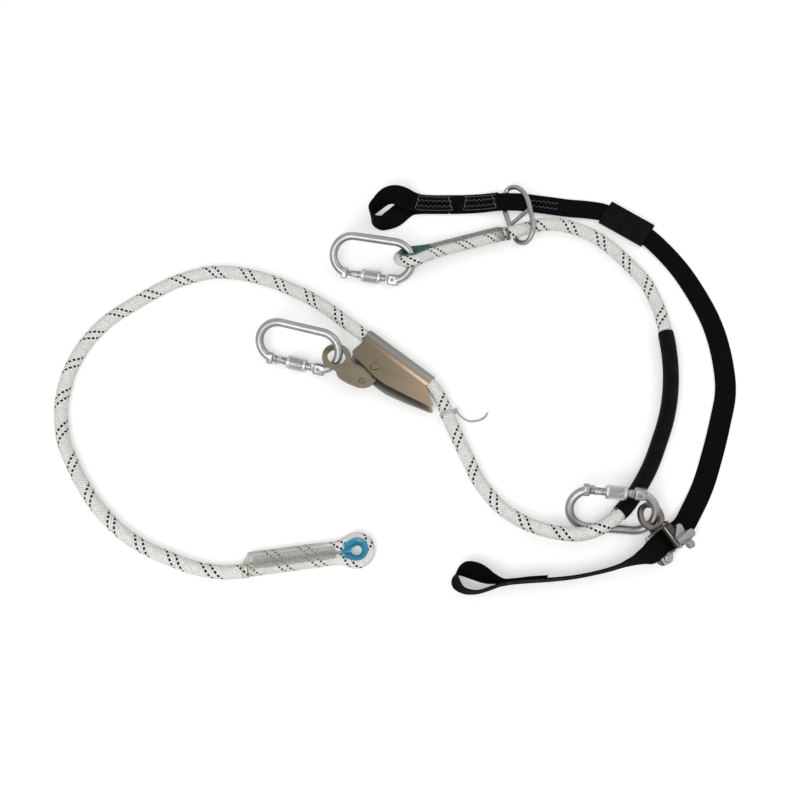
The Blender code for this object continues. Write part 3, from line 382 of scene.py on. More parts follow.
def pin_mesh(start: Sequence[float], direction: Sequence[float], length: float, radius: float,
             run: float, drop: float, sides: int) -> Mesh:
    """A pin with slightly rounded ends.

    Args:
        start: The middle of its first end.
        direction: Its axis.
        length: Its length.
        radius: Its radius.
        run: How far along the rounding reaches.
        drop: How much thinner the very end is.
        sides: The number of sides.

    Returns:
        The mesh.
    """
    profile = [(0.0, radius - drop), (run, radius), (length - run, radius), (length, radius - drop)]
    return Solid(turned(profile, start, direction, sides)).done(0.0)


def block(low: Sequence[float], high: Sequence[float], bevel: float = 0.0,
          segments: int = 3) -> Object:
    """A box between two corners, with rounded edges."""
    size = Vector(high) - Vector(low)
    bm = bmesh.new()
    bmesh.ops.create_cube(bm, size=1.0)
    bmesh.ops.scale(bm, vec=size, verts=bm.verts)
    bmesh.ops.translate(bm, vec=(Vector(low) + Vector(high)) / 2, verts=bm.verts)
    if bevel:
        bmesh.ops.bevel(bm, geom=bm.edges[:], offset=bevel, segments=segments, profile=0.5, affect="EDGES")
    return mesh_object(bm)


def plate(outline: Sequence[Point], low: float, high: float) -> Object:
    """A flat plate of an outline in X and Y, between two heights."""
    bm = bmesh.new()
    bottom = [bm.verts.new((x, y, low)) for x, y in outline]
    top = [bm.verts.new((x, y, high)) for x, y in outline]
    count = len(outline)
    bm.faces.new(list(reversed(bottom)))
    bm.faces.new(top)
    for i in range(count):
        j = (i + 1) % count
        bm.faces.new((bottom[i], bottom[j], top[j], top[i]))
    bmesh.ops.recalc_face_normals(bm, faces=bm.faces)
    return mesh_object(bm)


def evaluated(obj: Object) -> Mesh:
    """The plain mesh of an object with its modifiers."""
    bpy.context.view_layer.update()
    depsgraph = bpy.context.evaluated_depsgraph_get()
    return bpy.data.meshes.new_from_object(obj.evaluated_get(depsgraph))


class Solid:
    """A body that is joined and cut from simple ones, and has its edges rounded at the end."""

    def __init__(self, start: Object) -> None:
        """Starts from an object."""
        self.obj = start
        self.tools: list[Object] = []

    def _combine(self, others: Sequence[Object], operation: str) -> Solid:
        """Adds one Boolean modifier for each object."""
        for other in others:
            modifier = self.obj.modifiers.new(operation.lower(), "BOOLEAN")
            modifier.operation = operation
            modifier.solver = "EXACT"
            modifier.object = other
            self.tools.append(other)
        return self

    def join(self, *others: Object) -> Solid:
        """Unites objects with the body."""
        return self._combine(others, "UNION")

    def cut(self, *others: Object) -> Solid:
        """Cuts objects out of the body."""
        return self._combine(others, "DIFFERENCE")

    def keep(self, *others: Object) -> Solid:
        """Keeps only what lies in the objects too."""
        return self._combine(others, "INTERSECT")

    def done(self, bevel: float = 0.4 * MM, segments: int = 2) -> Mesh:
        """Makes the plain mesh.

        Args:
            bevel: How far the sharp edges are rounded, or 0.
            segments: The steps of that rounding.

        Returns:
            The mesh; the object and its tools are removed.
        """
        mesh = evaluated(self.obj)
        for obj in [*self.tools, self.obj]:
            bpy.data.objects.remove(obj)
        bm = bmesh.new()
        bm.from_mesh(mesh)
        bmesh.ops.remove_doubles(bm, verts=bm.verts, dist=WELD)
        bmesh.ops.dissolve_limit(bm, angle_limit=FLAT_ANGLE, verts=bm.verts, edges=bm.edges)
        bmesh.ops.recalc_face_normals(bm, faces=bm.faces)
        mesh = loose(bm)
        if not bevel:
            return mesh
        holder = linked("holder", mesh)
        rounding = holder.modifiers.new("rounding", "BEVEL")
        rounding.width = bevel
        rounding.segments = segments
        rounding.limit_method = "ANGLE"
        rounding.angle_limit = SHARP_ANGLE
        rounding.use_clamp_overlap = True
        made = evaluated(holder)
        bpy.data.objects.remove(holder)
        return made


def marked(mesh: Mesh, name: str, value: Callable[[Vector], float]) -> Mesh:
    """Gives each face a value.

    Args:
        mesh: The mesh.
        name: The value's name.
        value: Gives the value from the face's middle.

    Returns:
        The mesh.
    """
    values = mesh.attributes.new(name, "FLOAT", "FACE")
    for item, face in zip(values.data, mesh.polygons):
        item.value = value(face.center)
    return mesh


def merged(*meshes: Mesh) -> Mesh:
    """One mesh of several."""
    bm = bmesh.new()
    for mesh in meshes:
        bm.from_mesh(mesh)
    return loose(bm)


@dataclass
class Piece:
    """A finished piece: its mesh, its name, and how it stands in the part."""

    name: str
    mesh: Mesh
    finish: Finish
    body: str
    replaces: tuple[str, ...] = ()
    place: Matrix = field(default_factory=lambda: Matrix.Identity(4))
    smooth_angle: float = 40.0

    def show(self) -> Object:
        """Puts the piece in the scene.

        Returns:
            The object, at the origin, with its place in its mesh.
        """
        self.mesh.transform(self.place)
        obj = linked(self.name, self.mesh)
        self.mesh.materials.clear()
        self.mesh.materials.append(self.finish.material())
        self.mesh.shade_smooth()
        self.mesh.set_sharp_from_angle(angle=math.radians(self.smooth_angle))
        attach(obj, self.body)
        if self.replaces:
            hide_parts(*self.replaces)
        LOG.info("piece %s: %d faces", self.name, len(self.mesh.polygons))
        return obj


def show_all(base: str, place: Matrix,
             shapes: Sequence[tuple[str, Mesh, Finish, str, tuple[str, ...]]]) -> None:
    """Shows the pieces of an assembly.

    Args:
        base: The start of their names.
        place: The assembly's place.
        shapes: The end of each name, with its mesh, finish, body and the nodes it replaces.
    """
    for name, mesh, finish, body, nodes in shapes:
        Piece(f"{base}_{name}", mesh, finish, body, nodes, place).show()


# Small repeated shapes, set out by a node tree


class Stud(Enum):
    """The small shapes that are repeated, each as its node and the node's inputs."""

    STITCH = ("GeometryNodeMeshUVSphere", {"Segments": 8, "Rings": 5, "Radius": 0.5})
    PYRAMID = ("GeometryNodeMeshCone",
               {"Vertices": 4, "Radius Top": 0.16, "Radius Bottom": 0.5, "Depth": 1.0})
    BAR = ("GeometryNodeMeshCube", {"Size": (1.0, 1.0, 1.0)})


class StudTree:
    """A node tree that sets one small shape on every vertex of a mesh, turned by an attribute."""

    made: dict[Stud, NodeTree] = {}

    @classmethod
    def get(cls, stud: Stud) -> NodeTree:
        """The tree for a shape, built once."""
        if stud not in cls.made:
            cls.made[stud] = cls.build(stud)
        return cls.made[stud]

    @staticmethod
    def build(stud: Stud) -> NodeTree:
        """Builds the tree.

        Args:
            stud: The small shape.

        Returns:
            The tree, with inputs for the shape's length, width, height and material.
        """
        group = bpy.data.node_groups.new(f"{stud.name.lower()}_run", "GeometryNodeTree")
        for name, kind in {"Geometry": "Geometry", "Length": "Float", "Width": "Float", "Height": "Float",
                           "Finish": "Material"}.items():
            group.interface.new_socket(name=name, in_out="INPUT", socket_type=f"NodeSocket{kind}")
        group.interface.new_socket(name="Geometry", in_out="OUTPUT", socket_type="NodeSocketGeometry")
        tree = Tree(group)
        given = tree.node("NodeGroupInput").outputs
        kind, values = stud.value
        shape = tree.node(kind)
        for name, value in values.items():
            shape.inputs[name].default_value = value
        size = tree.put("ShaderNodeCombineXYZ", X=given["Length"], Y=given["Width"], Z=given["Height"])
        scaled = tree.put("GeometryNodeTransform", Geometry=shape.outputs["Mesh"], Scale=size)
        turn = tree.node("GeometryNodeInputNamedAttribute", data_type="FLOAT_VECTOR")
        turn.inputs["Name"].default_value = "turn"
        rotation = tree.put("FunctionNodeEulerToRotation", Euler=turn.outputs["Attribute"])
        spread = tree.put("GeometryNodeInstanceOnPoints", Points=given["Geometry"], Instance=scaled,
                          Rotation=rotation)
        real = tree.put("GeometryNodeRealizeInstances", Geometry=spread)
        dressed = tree.put("GeometryNodeSetMaterial", Geometry=real, Material=given["Finish"])
        tree.feed(tree.node("NodeGroupOutput").inputs["Geometry"], dressed)
        return group

    @classmethod
    def run(cls, spots: Sequence[Matrix], stud: Stud, size: tuple[float, float, float],
            material: Material) -> Mesh:
        """Sets out a shape at a list of places.

        Args:
            spots: The places, with their turns.
            stud: The small shape.
            size: Its length, width and height.
            material: Its material.

        Returns:
            The plain mesh of all of them.
        """
        group = cls.get(stud)
        mesh = bpy.data.meshes.new("spots")
        mesh.from_pydata([spot.translation for spot in spots], [], [])
        turns = mesh.attributes.new("turn", "FLOAT_VECTOR", "POINT")
        for item, spot in zip(turns.data, spots):
            item.vector = Vector(spot.to_euler())
        obj = linked("spots", mesh)
        modifier = obj.modifiers.new("run", "NODES")
        modifier.node_group = group
        inputs = {item.name: item.identifier for item in group.interface.items_tree if item.in_out == "INPUT"}
        for name, value in zip(("Length", "Width", "Height", "Finish"), (*size, material)):
            modifier[inputs[name]] = value
        made = evaluated(obj)
        bpy.data.objects.remove(obj)
        return made


def facing(place: Vector, heading: Vector, outward: Vector) -> Matrix:
    """A turn with X along a heading and Z outward, at a place."""
    z = outward.normalized()
    x = (heading - z * heading.dot(z)).normalized()
    matrix = Matrix((x, z.cross(x), z)).transposed().to_4x4()
    matrix.translation = place
    return matrix


# Shader trees


class Tree:
    """Short calls for building a shader tree."""

    def __init__(self, tree: NodeTree) -> None:
        """Wraps a tree."""
        self.nodes = tree.nodes
        self.links = tree.links

    def node(self, kind: str, **settings: object) -> Node:
        """Adds a node and sets its properties."""
        made = self.nodes.new(kind)
        for name, value in settings.items():
            setattr(made, name, value)
        return made

    def feed(self, socket: NodeSocket, value: object) -> None:
        """Links a socket to an input, or sets the input's value."""
        if isinstance(value, NodeSocket):
            self.links.new(value, socket)
        elif socket.type == "RGBA" and len(value) == 3:
            socket.default_value = (*value, 1.0)
        else:
            socket.default_value = value

    def fill(self, node: Node, **values: object) -> Node:
        """Feeds a node's inputs by their names, written with _ for a space."""
        for label, value in values.items():
            self.feed(node.inputs[label.replace("_", " ")], value)
        return node

    def put(self, kind: str, **values: object) -> NodeSocket:
        """Adds a node, feeds its inputs, and gives its first result."""
        return self.fill(self.node(kind), **values).outputs[0]

    def math(self, operation: str, *values: object) -> NodeSocket:
        """A Math node's result."""
        made = self.node("ShaderNodeMath", operation=operation)
        for socket, value in zip(made.inputs, values):
            self.feed(socket, value)
        return made.outputs[0]

    def sine(self, value: object, waves: float = 1.0) -> NodeSocket:
        """The sine of a value. A whole number is that many half waves, times the given factor."""
        return self.math("SINE", self.math("MULTIPLY", value, waves * math.pi))

    def largest(self, *values: object) -> NodeSocket:
        """The largest of some values."""
        most = values[0]
        for value in values[1:]:
            most = self.math("MAXIMUM", most, value)
        return most

    def blend(self, share: object, low: object, high: object) -> NodeSocket:
        """A colour between two, by a share."""
        made = self.node("ShaderNodeMix", data_type="RGBA")
        self.feed(made.inputs["Factor"], share)
        ends = [socket for socket in made.inputs if socket.type == "RGBA"]
        for socket, value in zip(ends, (low, high)):
            self.feed(socket, value)
        return next(socket for socket in made.outputs if socket.type == "RGBA")

    def between(self, share: object, low: object, high: object) -> NodeSocket:
        """A number between two, by a share."""
        return self.put("ShaderNodeMapRange", Value=share, To_Min=low, To_Max=high)

    def surface(self) -> tuple[NodeSocket, NodeSocket]:
        """The two values of the UV map."""
        split = self.node("ShaderNodeSeparateXYZ")
        self.feed(split.inputs[0], self.node("ShaderNodeUVMap", uv_map="surface").outputs["UV"])
        return split.outputs["X"], split.outputs["Y"]

    def chance(self, x: object, y: object) -> NodeSocket:
        """A random value for each pair of whole numbers."""
        made = self.node("ShaderNodeTexWhiteNoise", noise_dimensions="2D")
        self.feed(made.inputs["Vector"], self.put("ShaderNodeCombineXYZ", X=x, Y=y))
        return made.outputs["Value"]

    def seen(self) -> NodeSocket:
        """Whether a ray comes from the camera, a reflection or clear film."""
        path = self.node("ShaderNodeLightPath").outputs
        return self.largest(path["Is Camera Ray"], path["Is Glossy Ray"], path["Is Transmission Ray"])

    def noise(self, vector: NodeSocket, scale: object, detail: float = 3.0,
              roughness: float = 0.55) -> NodeSocket:
        """A noise value from 0 to 1."""
        return self.put("ShaderNodeTexNoise", Vector=vector, Scale=scale, Detail=detail, Roughness=roughness)


class Group(Tree):
    """A shader node group with number sockets."""

    def __init__(self, name: str, outputs: Sequence[str], **inputs: float) -> None:
        """Makes the group.

        Args:
            name: The group's name.
            outputs: The outputs' names.
            inputs: Each input's default value by its name, written with _ for a space.
        """
        self.group = bpy.data.node_groups.new(name, "ShaderNodeTree")
        new_socket = self.group.interface.new_socket
        for label, value in inputs.items():
            made = new_socket(name=label.replace("_", " "), in_out="INPUT", socket_type="NodeSocketFloat")
            made.default_value = value
        for label in outputs:
            new_socket(name=label, in_out="OUTPUT", socket_type="NodeSocketFloat")
        super().__init__(self.group)
        self.given = self.node("NodeGroupInput").outputs
        self.result = self.node("NodeGroupOutput")


class Effects:
    """The shader groups that several materials share."""

    made: dict[str, NodeTree] = {}

    @classmethod
    def get(cls, name: str) -> NodeTree:
        """A group by name, built once."""
        if name not in cls.made:
            cls.made[name] = getattr(cls, name)()
        return cls.made[name]

    @classmethod
    def use(cls, tree: Tree, name: str, **values: object) -> Node:
        """Places a group in a material with its own values."""
        return tree.fill(tree.node("ShaderNodeGroup", node_tree=cls.get(name)), **values)

    @staticmethod
    def surface_wear() -> NodeTree:
        """Cloudy patches, fine grain and long scratches on Object coordinates."""
        tree = Group("surface_wear", ("Clouds", "Grain", "Scratches"), Cloud_Scale=60.0, Grain_Scale=1800.0,
                     Scratch_Scale=240.0)
        place = tree.node("ShaderNodeTexCoord").outputs["Object"]
        clouds = tree.noise(place, tree.given["Cloud Scale"], 4.0, 0.6)
        stretched = tree.put("ShaderNodeMapping", Vector=place, Scale=(1.0, 9.0, 3.0),
                             Rotation=(0.3, 0.4, 0.7))
        lines = tree.noise(stretched, tree.given["Scratch Scale"], 3.0, 0.7)
        tree.fill(tree.result, Clouds=tree.between(clouds, -0.6, 1.6),
                  Grain=tree.noise(place, tree.given["Grain Scale"], 2.0),
                  Scratches=tree.math("GREATER_THAN", lines, 0.64))
        return tree.group

    @staticmethod
    def braid() -> NodeTree:
        """A round braid of plaited strands on the UV map: height, the tracer strands and a random value."""
        tree = Group("braid", ("Height", "Tracer", "Random", "Fibre"), Strands=12.0, Pitch=0.043)
        around, along_rope = tree.surface()
        strands = tree.given["Strands"]
        turn = tree.math("DIVIDE", along_rope, tree.given["Pitch"])
        right = tree.math("MULTIPLY", tree.math("SUBTRACT", around, turn), strands)
        left = tree.math("MULTIPLY", tree.math("ADD", around, turn), strands)
        cell_r, cell_l = tree.math("FLOOR", right), tree.math("FLOOR", left)
        in_r, in_l = tree.math("FRACT", right), tree.math("FRACT", left)
        parity = tree.math("FLOORED_MODULO", tree.math("ADD", cell_r, cell_l), 2.0)
        cross = tree.between(parity, in_r, in_l)
        along = tree.between(parity, in_l, in_r)
        hump = tree.math("SQRT", tree.math("ABSOLUTE", tree.sine(cross)))
        number = tree.math("FLOORED_MODULO", cell_r, strands)
        tracers = tree.largest(*(tree.math("COMPARE", number, strand, 0.3) for strand in (1.0, 4.0)))
        border = tree.math("GREATER_THAN", tree.math("ABSOLUTE", tree.math("SUBTRACT", in_l, 0.5)), 0.36)
        on_top = tree.largest(tree.math("SUBTRACT", 1.0, parity), border)
        tree.fill(tree.result, Height=tree.math("MULTIPLY", hump, tree.between(tree.sine(along), 0.45, 1.0)),
                  Tracer=tree.math("MULTIPLY", tracers, on_top),
                  Random=tree.chance(tree.math("SUBTRACT", cell_l, cell_r), number),
                  Fibre=tree.between(tree.sine(cross, 10.0), 0.0, 1.0))
        return tree.group

    @staticmethod
    def tape_weave() -> NodeTree:
        """The weave of flat webbing on the UV map: height, a selvedge mask and a random value."""
        tree = Group("tape_weave", ("Height", "Selvedge", "Random"), Columns=22.0, Row_Length=0.0021)
        over, along_tape = tree.surface()
        across = tree.math("MULTIPLY", over, tree.given["Columns"])
        column = tree.math("FLOOR", across)
        offset = tree.math("MULTIPLY", tree.math("FLOORED_MODULO", column, 2.0), 0.5)
        along = tree.math("ADD", tree.math("DIVIDE", along_tape, tree.given["Row Length"]), offset)
        hump, bow = (tree.sine(tree.math("FRACT", value)) for value in (across, along))
        middle = tree.math("ABSOLUTE", tree.math("SUBTRACT", over, 0.5))
        tree.fill(tree.result, Selvedge=tree.math("GREATER_THAN", middle, 0.44),
                  Height=tree.math("MULTIPLY", hump, tree.math("SQRT", tree.math("ABSOLUTE", bow))),
                  Random=tree.chance(column, tree.math("FLOOR", along)))
        return tree.group


@dataclass(frozen=True)
class Finish(ABC):
    """A finish: a name, the record's material slot, and the material it makes."""

    name: str
    slot: str

    def material(self) -> Material:
        """The material, built once for each finish."""
        found = bpy.data.materials.get(f"finish_{self.name}")
        if found:
            return found
        made = bpy.data.materials.new(f"finish_{self.name}")
        made.use_nodes = True
        tree = Tree(made.node_tree)
        self.dress(tree, made.node_tree.nodes["Principled BSDF"])
        return made

    @abstractmethod
    def dress(self, tree: Tree, shader: Node) -> None:
        """Sets the shader's inputs."""

    @staticmethod
    def bump(tree: Tree, shader: Node, height: NodeSocket, depth: float,
             strength: float = 1.0) -> None:
        """Feeds a height in metres to the shader's normal."""
        tree.feed(shader.inputs["Normal"],
                  tree.put("ShaderNodeBump", Distance=depth, Strength=strength, Height=height))


@dataclass(frozen=True)
class Metal(Finish):
    """Plated or bare steel with cloudy tone, fine grain and scratches."""

    colour: Colour
    stain: Colour
    roughness: float
    cloud_scale: float = 60.0
    metallic: float = 1.0

    def tone(self, tree: Tree, wear: Node) -> NodeSocket:
        """The plating's colour, mixed of its two tones."""
        return tree.blend(wear.outputs["Clouds"], self.colour, self.stain)

    def dress(self, tree: Tree, shader: Node) -> None:
        """Gives the plating its tone and roughens it in patches."""
        wear = Effects.use(tree, "surface_wear", Cloud_Scale=self.cloud_scale)
        lit = tuple(min(1.0, c * 1.35) for c in self.colour)
        grain, scratches = wear.outputs["Grain"], wear.outputs["Scratches"]
        tree.fill(shader, Metallic=self.metallic,
                  Base_Color=tree.blend(tree.math("MULTIPLY", scratches, 0.35), self.tone(tree, wear), lit),
                  Roughness=tree.between(grain, self.roughness - 0.06, self.roughness + 0.1))
        height = tree.math("ADD", grain, tree.math("MULTIPLY", scratches, -0.4))
        self.bump(tree, shader, height, 0.02 * MM, 0.5)


@dataclass(frozen=True)
class FoldedMetal(Metal):
    """Plated sheet whose tone changes by the mesh's own values "bare" and "warm".

    The second tone is plain steel on the adjuster's channel and a darker tone on the buckle; on the
    adjuster's lower plate it is a painted highlight.
    """

    bare: Colour = (0.25, 0.255, 0.235)
    warm: Colour = (0.32, 0.24, 0.165)

    def tone(self, tree: Tree, wear: Node) -> NodeSocket:
        """The plating's colour: the second tone where the mesh marks it (a painted highlight on the
        adjuster's lower plate), warmer towards one end.
        """
        base = super().tone(tree, wear)
        for name, colour in (("warm", self.warm), ("bare", self.bare)):
            share = tree.node("ShaderNodeAttribute", attribute_name=name).outputs["Fac"]
            base = tree.blend(share, base, colour)
        return base


@dataclass(frozen=True)
class Moulded(Finish):
    """Moulded plastic with a fine skin."""

    colour: Colour
    roughness: float
    gloss: float = 0.5

    def dress(self, tree: Tree, shader: Node) -> None:
        """Varies the colour a little and gives the skin its grain."""
        wear = Effects.use(tree, "surface_wear", Cloud_Scale=90.0, Grain_Scale=900.0)
        dull = tuple(c * 0.8 for c in self.colour)
        pale = tuple(min(1.0, c * 1.25 + 0.004) for c in self.colour)
        grain = wear.outputs["Grain"]
        tree.fill(shader, Specular_IOR_Level=self.gloss,
                  Base_Color=tree.blend(wear.outputs["Clouds"], dull, pale),
                  Roughness=tree.between(grain, self.roughness - 0.05, self.roughness + 0.1))
        self.bump(tree, shader, grain, 0.02 * MM, 0.6)


@dataclass(frozen=True)
class Braided(Finish):
    """Braided rope sheath with two black tracer strands."""

    colour: Colour
    pitch: float

    def dress(self, tree: Tree, shader: Node) -> None:
        """Draws the plaited strands, with painted shade in the hollows between them, and the tracers."""
        cells = Effects.use(tree, "braid", Pitch=self.pitch).outputs
        wear = Effects.use(tree, "surface_wear", Cloud_Scale=35.0, Grain_Scale=2600.0).outputs
        # Painted shade: the hollows between the strands take a third of the yarn's colour, mixed in by the
        # braid's height.
        valley_shade, dim = (tuple(c * share for c in self.colour) for share in (0.36, 0.5))
        raised = tree.blend(tree.math("MULTIPLY", cells["Random"], 0.34), self.colour, dim)
        depth = tree.between(cells["Height"], 0.0, 1.0)
        yarn = tree.blend(tree.math("MULTIPLY", depth, 1.5), valley_shade, raised)
        soiled = tree.blend(tree.math("MULTIPLY", wear["Clouds"], 0.05), yarn, (0.42, 0.40, 0.33))
        dark = tree.blend(cells["Fibre"], (0.008, 0.008, 0.010), (0.022, 0.022, 0.026))
        tree.fill(shader, Base_Color=tree.blend(cells["Tracer"], soiled, dark), Roughness=0.85,
                  Specular_IOR_Level=0.25)
        height = tree.math("ADD", cells["Height"], tree.math("MULTIPLY", cells["Fibre"], 0.14))
        height = tree.math("ADD", height, tree.math("MULTIPLY", wear["Grain"], 0.12))
        self.bump(tree, shader, height, 0.35 * MM, 0.9)


@dataclass(frozen=True)
class Woven(Finish):
    """Woven black webbing."""

    colour: Colour
    wear_and_sheen: Colour

    def dress(self, tree: Tree, shader: Node) -> None:
        """Draws the weave and the plain edge, with a painted sheen on the raised threads and cloudy patches
        of wear.
        """
        cells = Effects.use(tree, "tape_weave").outputs
        wear = Effects.use(tree, "surface_wear", Cloud_Scale=45.0, Grain_Scale=2400.0).outputs
        # Painted sheen: the raised threads are lightened towards the paler colour by their height and a
        # random share.
        crown_sheen = tree.math("MULTIPLY", tree.math("MULTIPLY", cells["Random"], 0.6), cells["Height"])
        yarn = tree.blend(crown_sheen, self.colour, self.wear_and_sheen)
        tree.fill(shader, Roughness=0.8, Specular_IOR_Level=0.03,
                  Base_Color=tree.blend(tree.math("MULTIPLY", wear["Clouds"], 0.25), yarn, self.wear_and_sheen))
        rib = tree.between(cells["Selvedge"], cells["Height"], 0.7)
        fuzz = tree.math("MULTIPLY", wear["Grain"], 0.2)
        self.bump(tree, shader, tree.math("ADD", rib, fuzz), 0.25 * MM, 0.8)


@dataclass(frozen=True)
class ClearFilm(Finish):
    """Clear shrink film, a little milky and wrinkled, coloured at its funnel and over the tail's leg, where
    the colour is partly painted shade.
    """

    colour: Colour
    opacity: float
    tint_and_shade: Colour
    tint_and_shade_opacity: float
    fade: float

    def dress(self, tree: Tree, shader: Node) -> None:
        """Makes the film mostly see-through, with cloudy patches and wrinkles, its own colour at the funnel,
        and partly painted shade over the tail's leg.
        """
        wear = Effects.use(tree, "surface_wear", Cloud_Scale=110.0, Grain_Scale=500.0).outputs
        milky = tuple(min(1.0, c * 1.12) for c in self.colour)
        around, along = tree.surface()
        # Painted shade: towards the tail's leg the film takes the darker colour and more opacity, partly its
        # own colour and partly the shade on that leg.
        tail = tree.math("MULTIPLY", tree.math("SUBTRACT", around, 0.5), 2.6)
        funnel = tree.math("SUBTRACT", 1.3, tree.math("DIVIDE", along, 16 * MM))
        share = tree.math("MINIMUM", tree.largest(tail, funnel, 0.0), 1.0)
        clear = tree.blend(wear["Clouds"], self.colour, milky)
        veil = tree.between(wear["Clouds"], self.opacity - 0.04, self.opacity + 0.04)
        ending = tree.math("DIVIDE", tree.math("SUBTRACT", self.fade, along), 26 * MM)
        kept = tree.math("MINIMUM", tree.largest(ending, 0.02), 1.0)
        tree.fill(shader, Base_Color=tree.blend(share, clear, self.tint_and_shade), Roughness=0.16,
                  Alpha=tree.math("MULTIPLY", kept, tree.between(share, veil, self.tint_and_shade_opacity)))
        self.bump(tree, shader, wear["Grain"], 0.12 * MM, 0.4)


@dataclass(frozen=True)
class Thread(Finish):
    """Twisted sewing thread."""

    colour: Colour

    def dress(self, tree: Tree, shader: Node) -> None:
        """Gives the thread its uneven tone."""
        wear = Effects.use(tree, "surface_wear", Cloud_Scale=400.0, Grain_Scale=3000.0).outputs
        pale = tuple(min(1.0, c * 1.4 + 0.01) for c in self.colour)
        tree.fill(shader, Base_Color=tree.blend(wear["Clouds"], self.colour, pale), Roughness=0.8)
        self.bump(tree, shader, wear["Grain"], 0.05 * MM, 0.8)


ZINC = Metal("bright_zinc", "zinc", (0.36, 0.365, 0.37), (0.25, 0.255, 0.26), 0.35)
PIN_ZINC = Metal("pin_zinc", "zinc", (0.24, 0.245, 0.25), (0.18, 0.185, 0.19), 0.55)
KNURL_ZINC = Metal("knurled_zinc", "zinc", (0.58, 0.59, 0.59), (0.46, 0.465, 0.47), 0.34)
WIRE_STEEL = Metal("steel_wire", "wire_steel", (0.33, 0.335, 0.32), (0.24, 0.245, 0.235), 0.3)
PALE_STEEL = Metal("pale_zinc", "pale_steel", (0.36, 0.365, 0.35), (0.27, 0.275, 0.265), 0.42)
BUCKLE_STEEL = FoldedMetal("buckle_zinc", "pale_steel", (0.36, 0.365, 0.35), (0.27, 0.275, 0.265), 0.42,
                           bare=(0.075, 0.066, 0.050))
LEVER_ZINC = FoldedMetal("lever_zinc", "pale_steel", (0.25, 0.255, 0.25), (0.18, 0.185, 0.18), 0.42,
                         bare=(0.05, 0.045, 0.037))
BRASSY_STEEL = Metal("brassy_chromate", "olive_steel", (0.14, 0.13, 0.105), (0.11, 0.10, 0.08), 0.38,
                     metallic=0.9)
OLIVE_STEEL = Metal("olive_chromate", "olive_steel", (0.17, 0.145, 0.10), (0.20, 0.15, 0.09), 0.38,
                    cloud_scale=38.0, metallic=0.85)
TAN_STEEL = Metal("tan_chromate", "olive_steel", (0.25, 0.225, 0.17), (0.19, 0.155, 0.11), 0.4,
                  cloud_scale=42.0, metallic=0.85)
# Its paler grey tone is the channel's plain steel, and on the lower plate a painted highlight.
SHELL_STEEL = FoldedMetal("shell_chromate", "olive_steel", (0.17, 0.15, 0.105), (0.19, 0.15, 0.095), 0.36,
                          cloud_scale=38.0, metallic=0.85)
ROPE_WHITE = Braided("rope_sheath", "rope_white", (0.92, 0.915, 0.875), 0.043)
EYE_WHITE = Braided("eye_sheath", "rope_white", (0.92, 0.915, 0.875), 0.038)
# Its second colour is both the wear tone and the painted sheen on the raised threads.
BLACK_WEB = Woven("black_webbing", "black_webbing", (0.002, 0.002, 0.0025), (0.009, 0.009, 0.010))
STITCH_THREAD = Thread("stitch_thread", "black_webbing", (0.15, 0.15, 0.155))
DARK_THREAD = Thread("dark_thread", "black_webbing", (0.02, 0.02, 0.021))
GREY_THREAD = Thread("grey_thread", "grey_thread", (0.30, 0.30, 0.29))
# Over the tail's leg the second colours below are partly the film's own and partly painted shade; at the
# funnel they are the film's own.
CLEAR_FILM = ClearFilm("clear_film", "clear_plastic", (0.66, 0.65, 0.56), 0.07, tint_and_shade=(0.50, 0.48, 0.37),
                       tint_and_shade_opacity=0.2, fade=106 * MM)
OLIVE_FILM = ClearFilm("olive_film", "clear_plastic", (0.66, 0.65, 0.56), 0.05, tint_and_shade=(0.13, 0.12, 0.075),
                       tint_and_shade_opacity=0.6, fade=110 * MM)
BLUE_LINER = Moulded("blue_liner", "blue_plastic", (0.006, 0.21, 0.34), 0.3)
GREEN_LINER = Moulded("green_liner", "green_plastic", (0.004, 0.075, 0.066), 0.35)
BLACK_TUBE = Moulded("black_tube", "black_plastic", (0.0025, 0.0025, 0.003), 0.48, 0.04)
PALE_NYLON = Moulded("pale_nylon", "clear_plastic", (0.42, 0.42, 0.40), 0.35)


# Carabiners


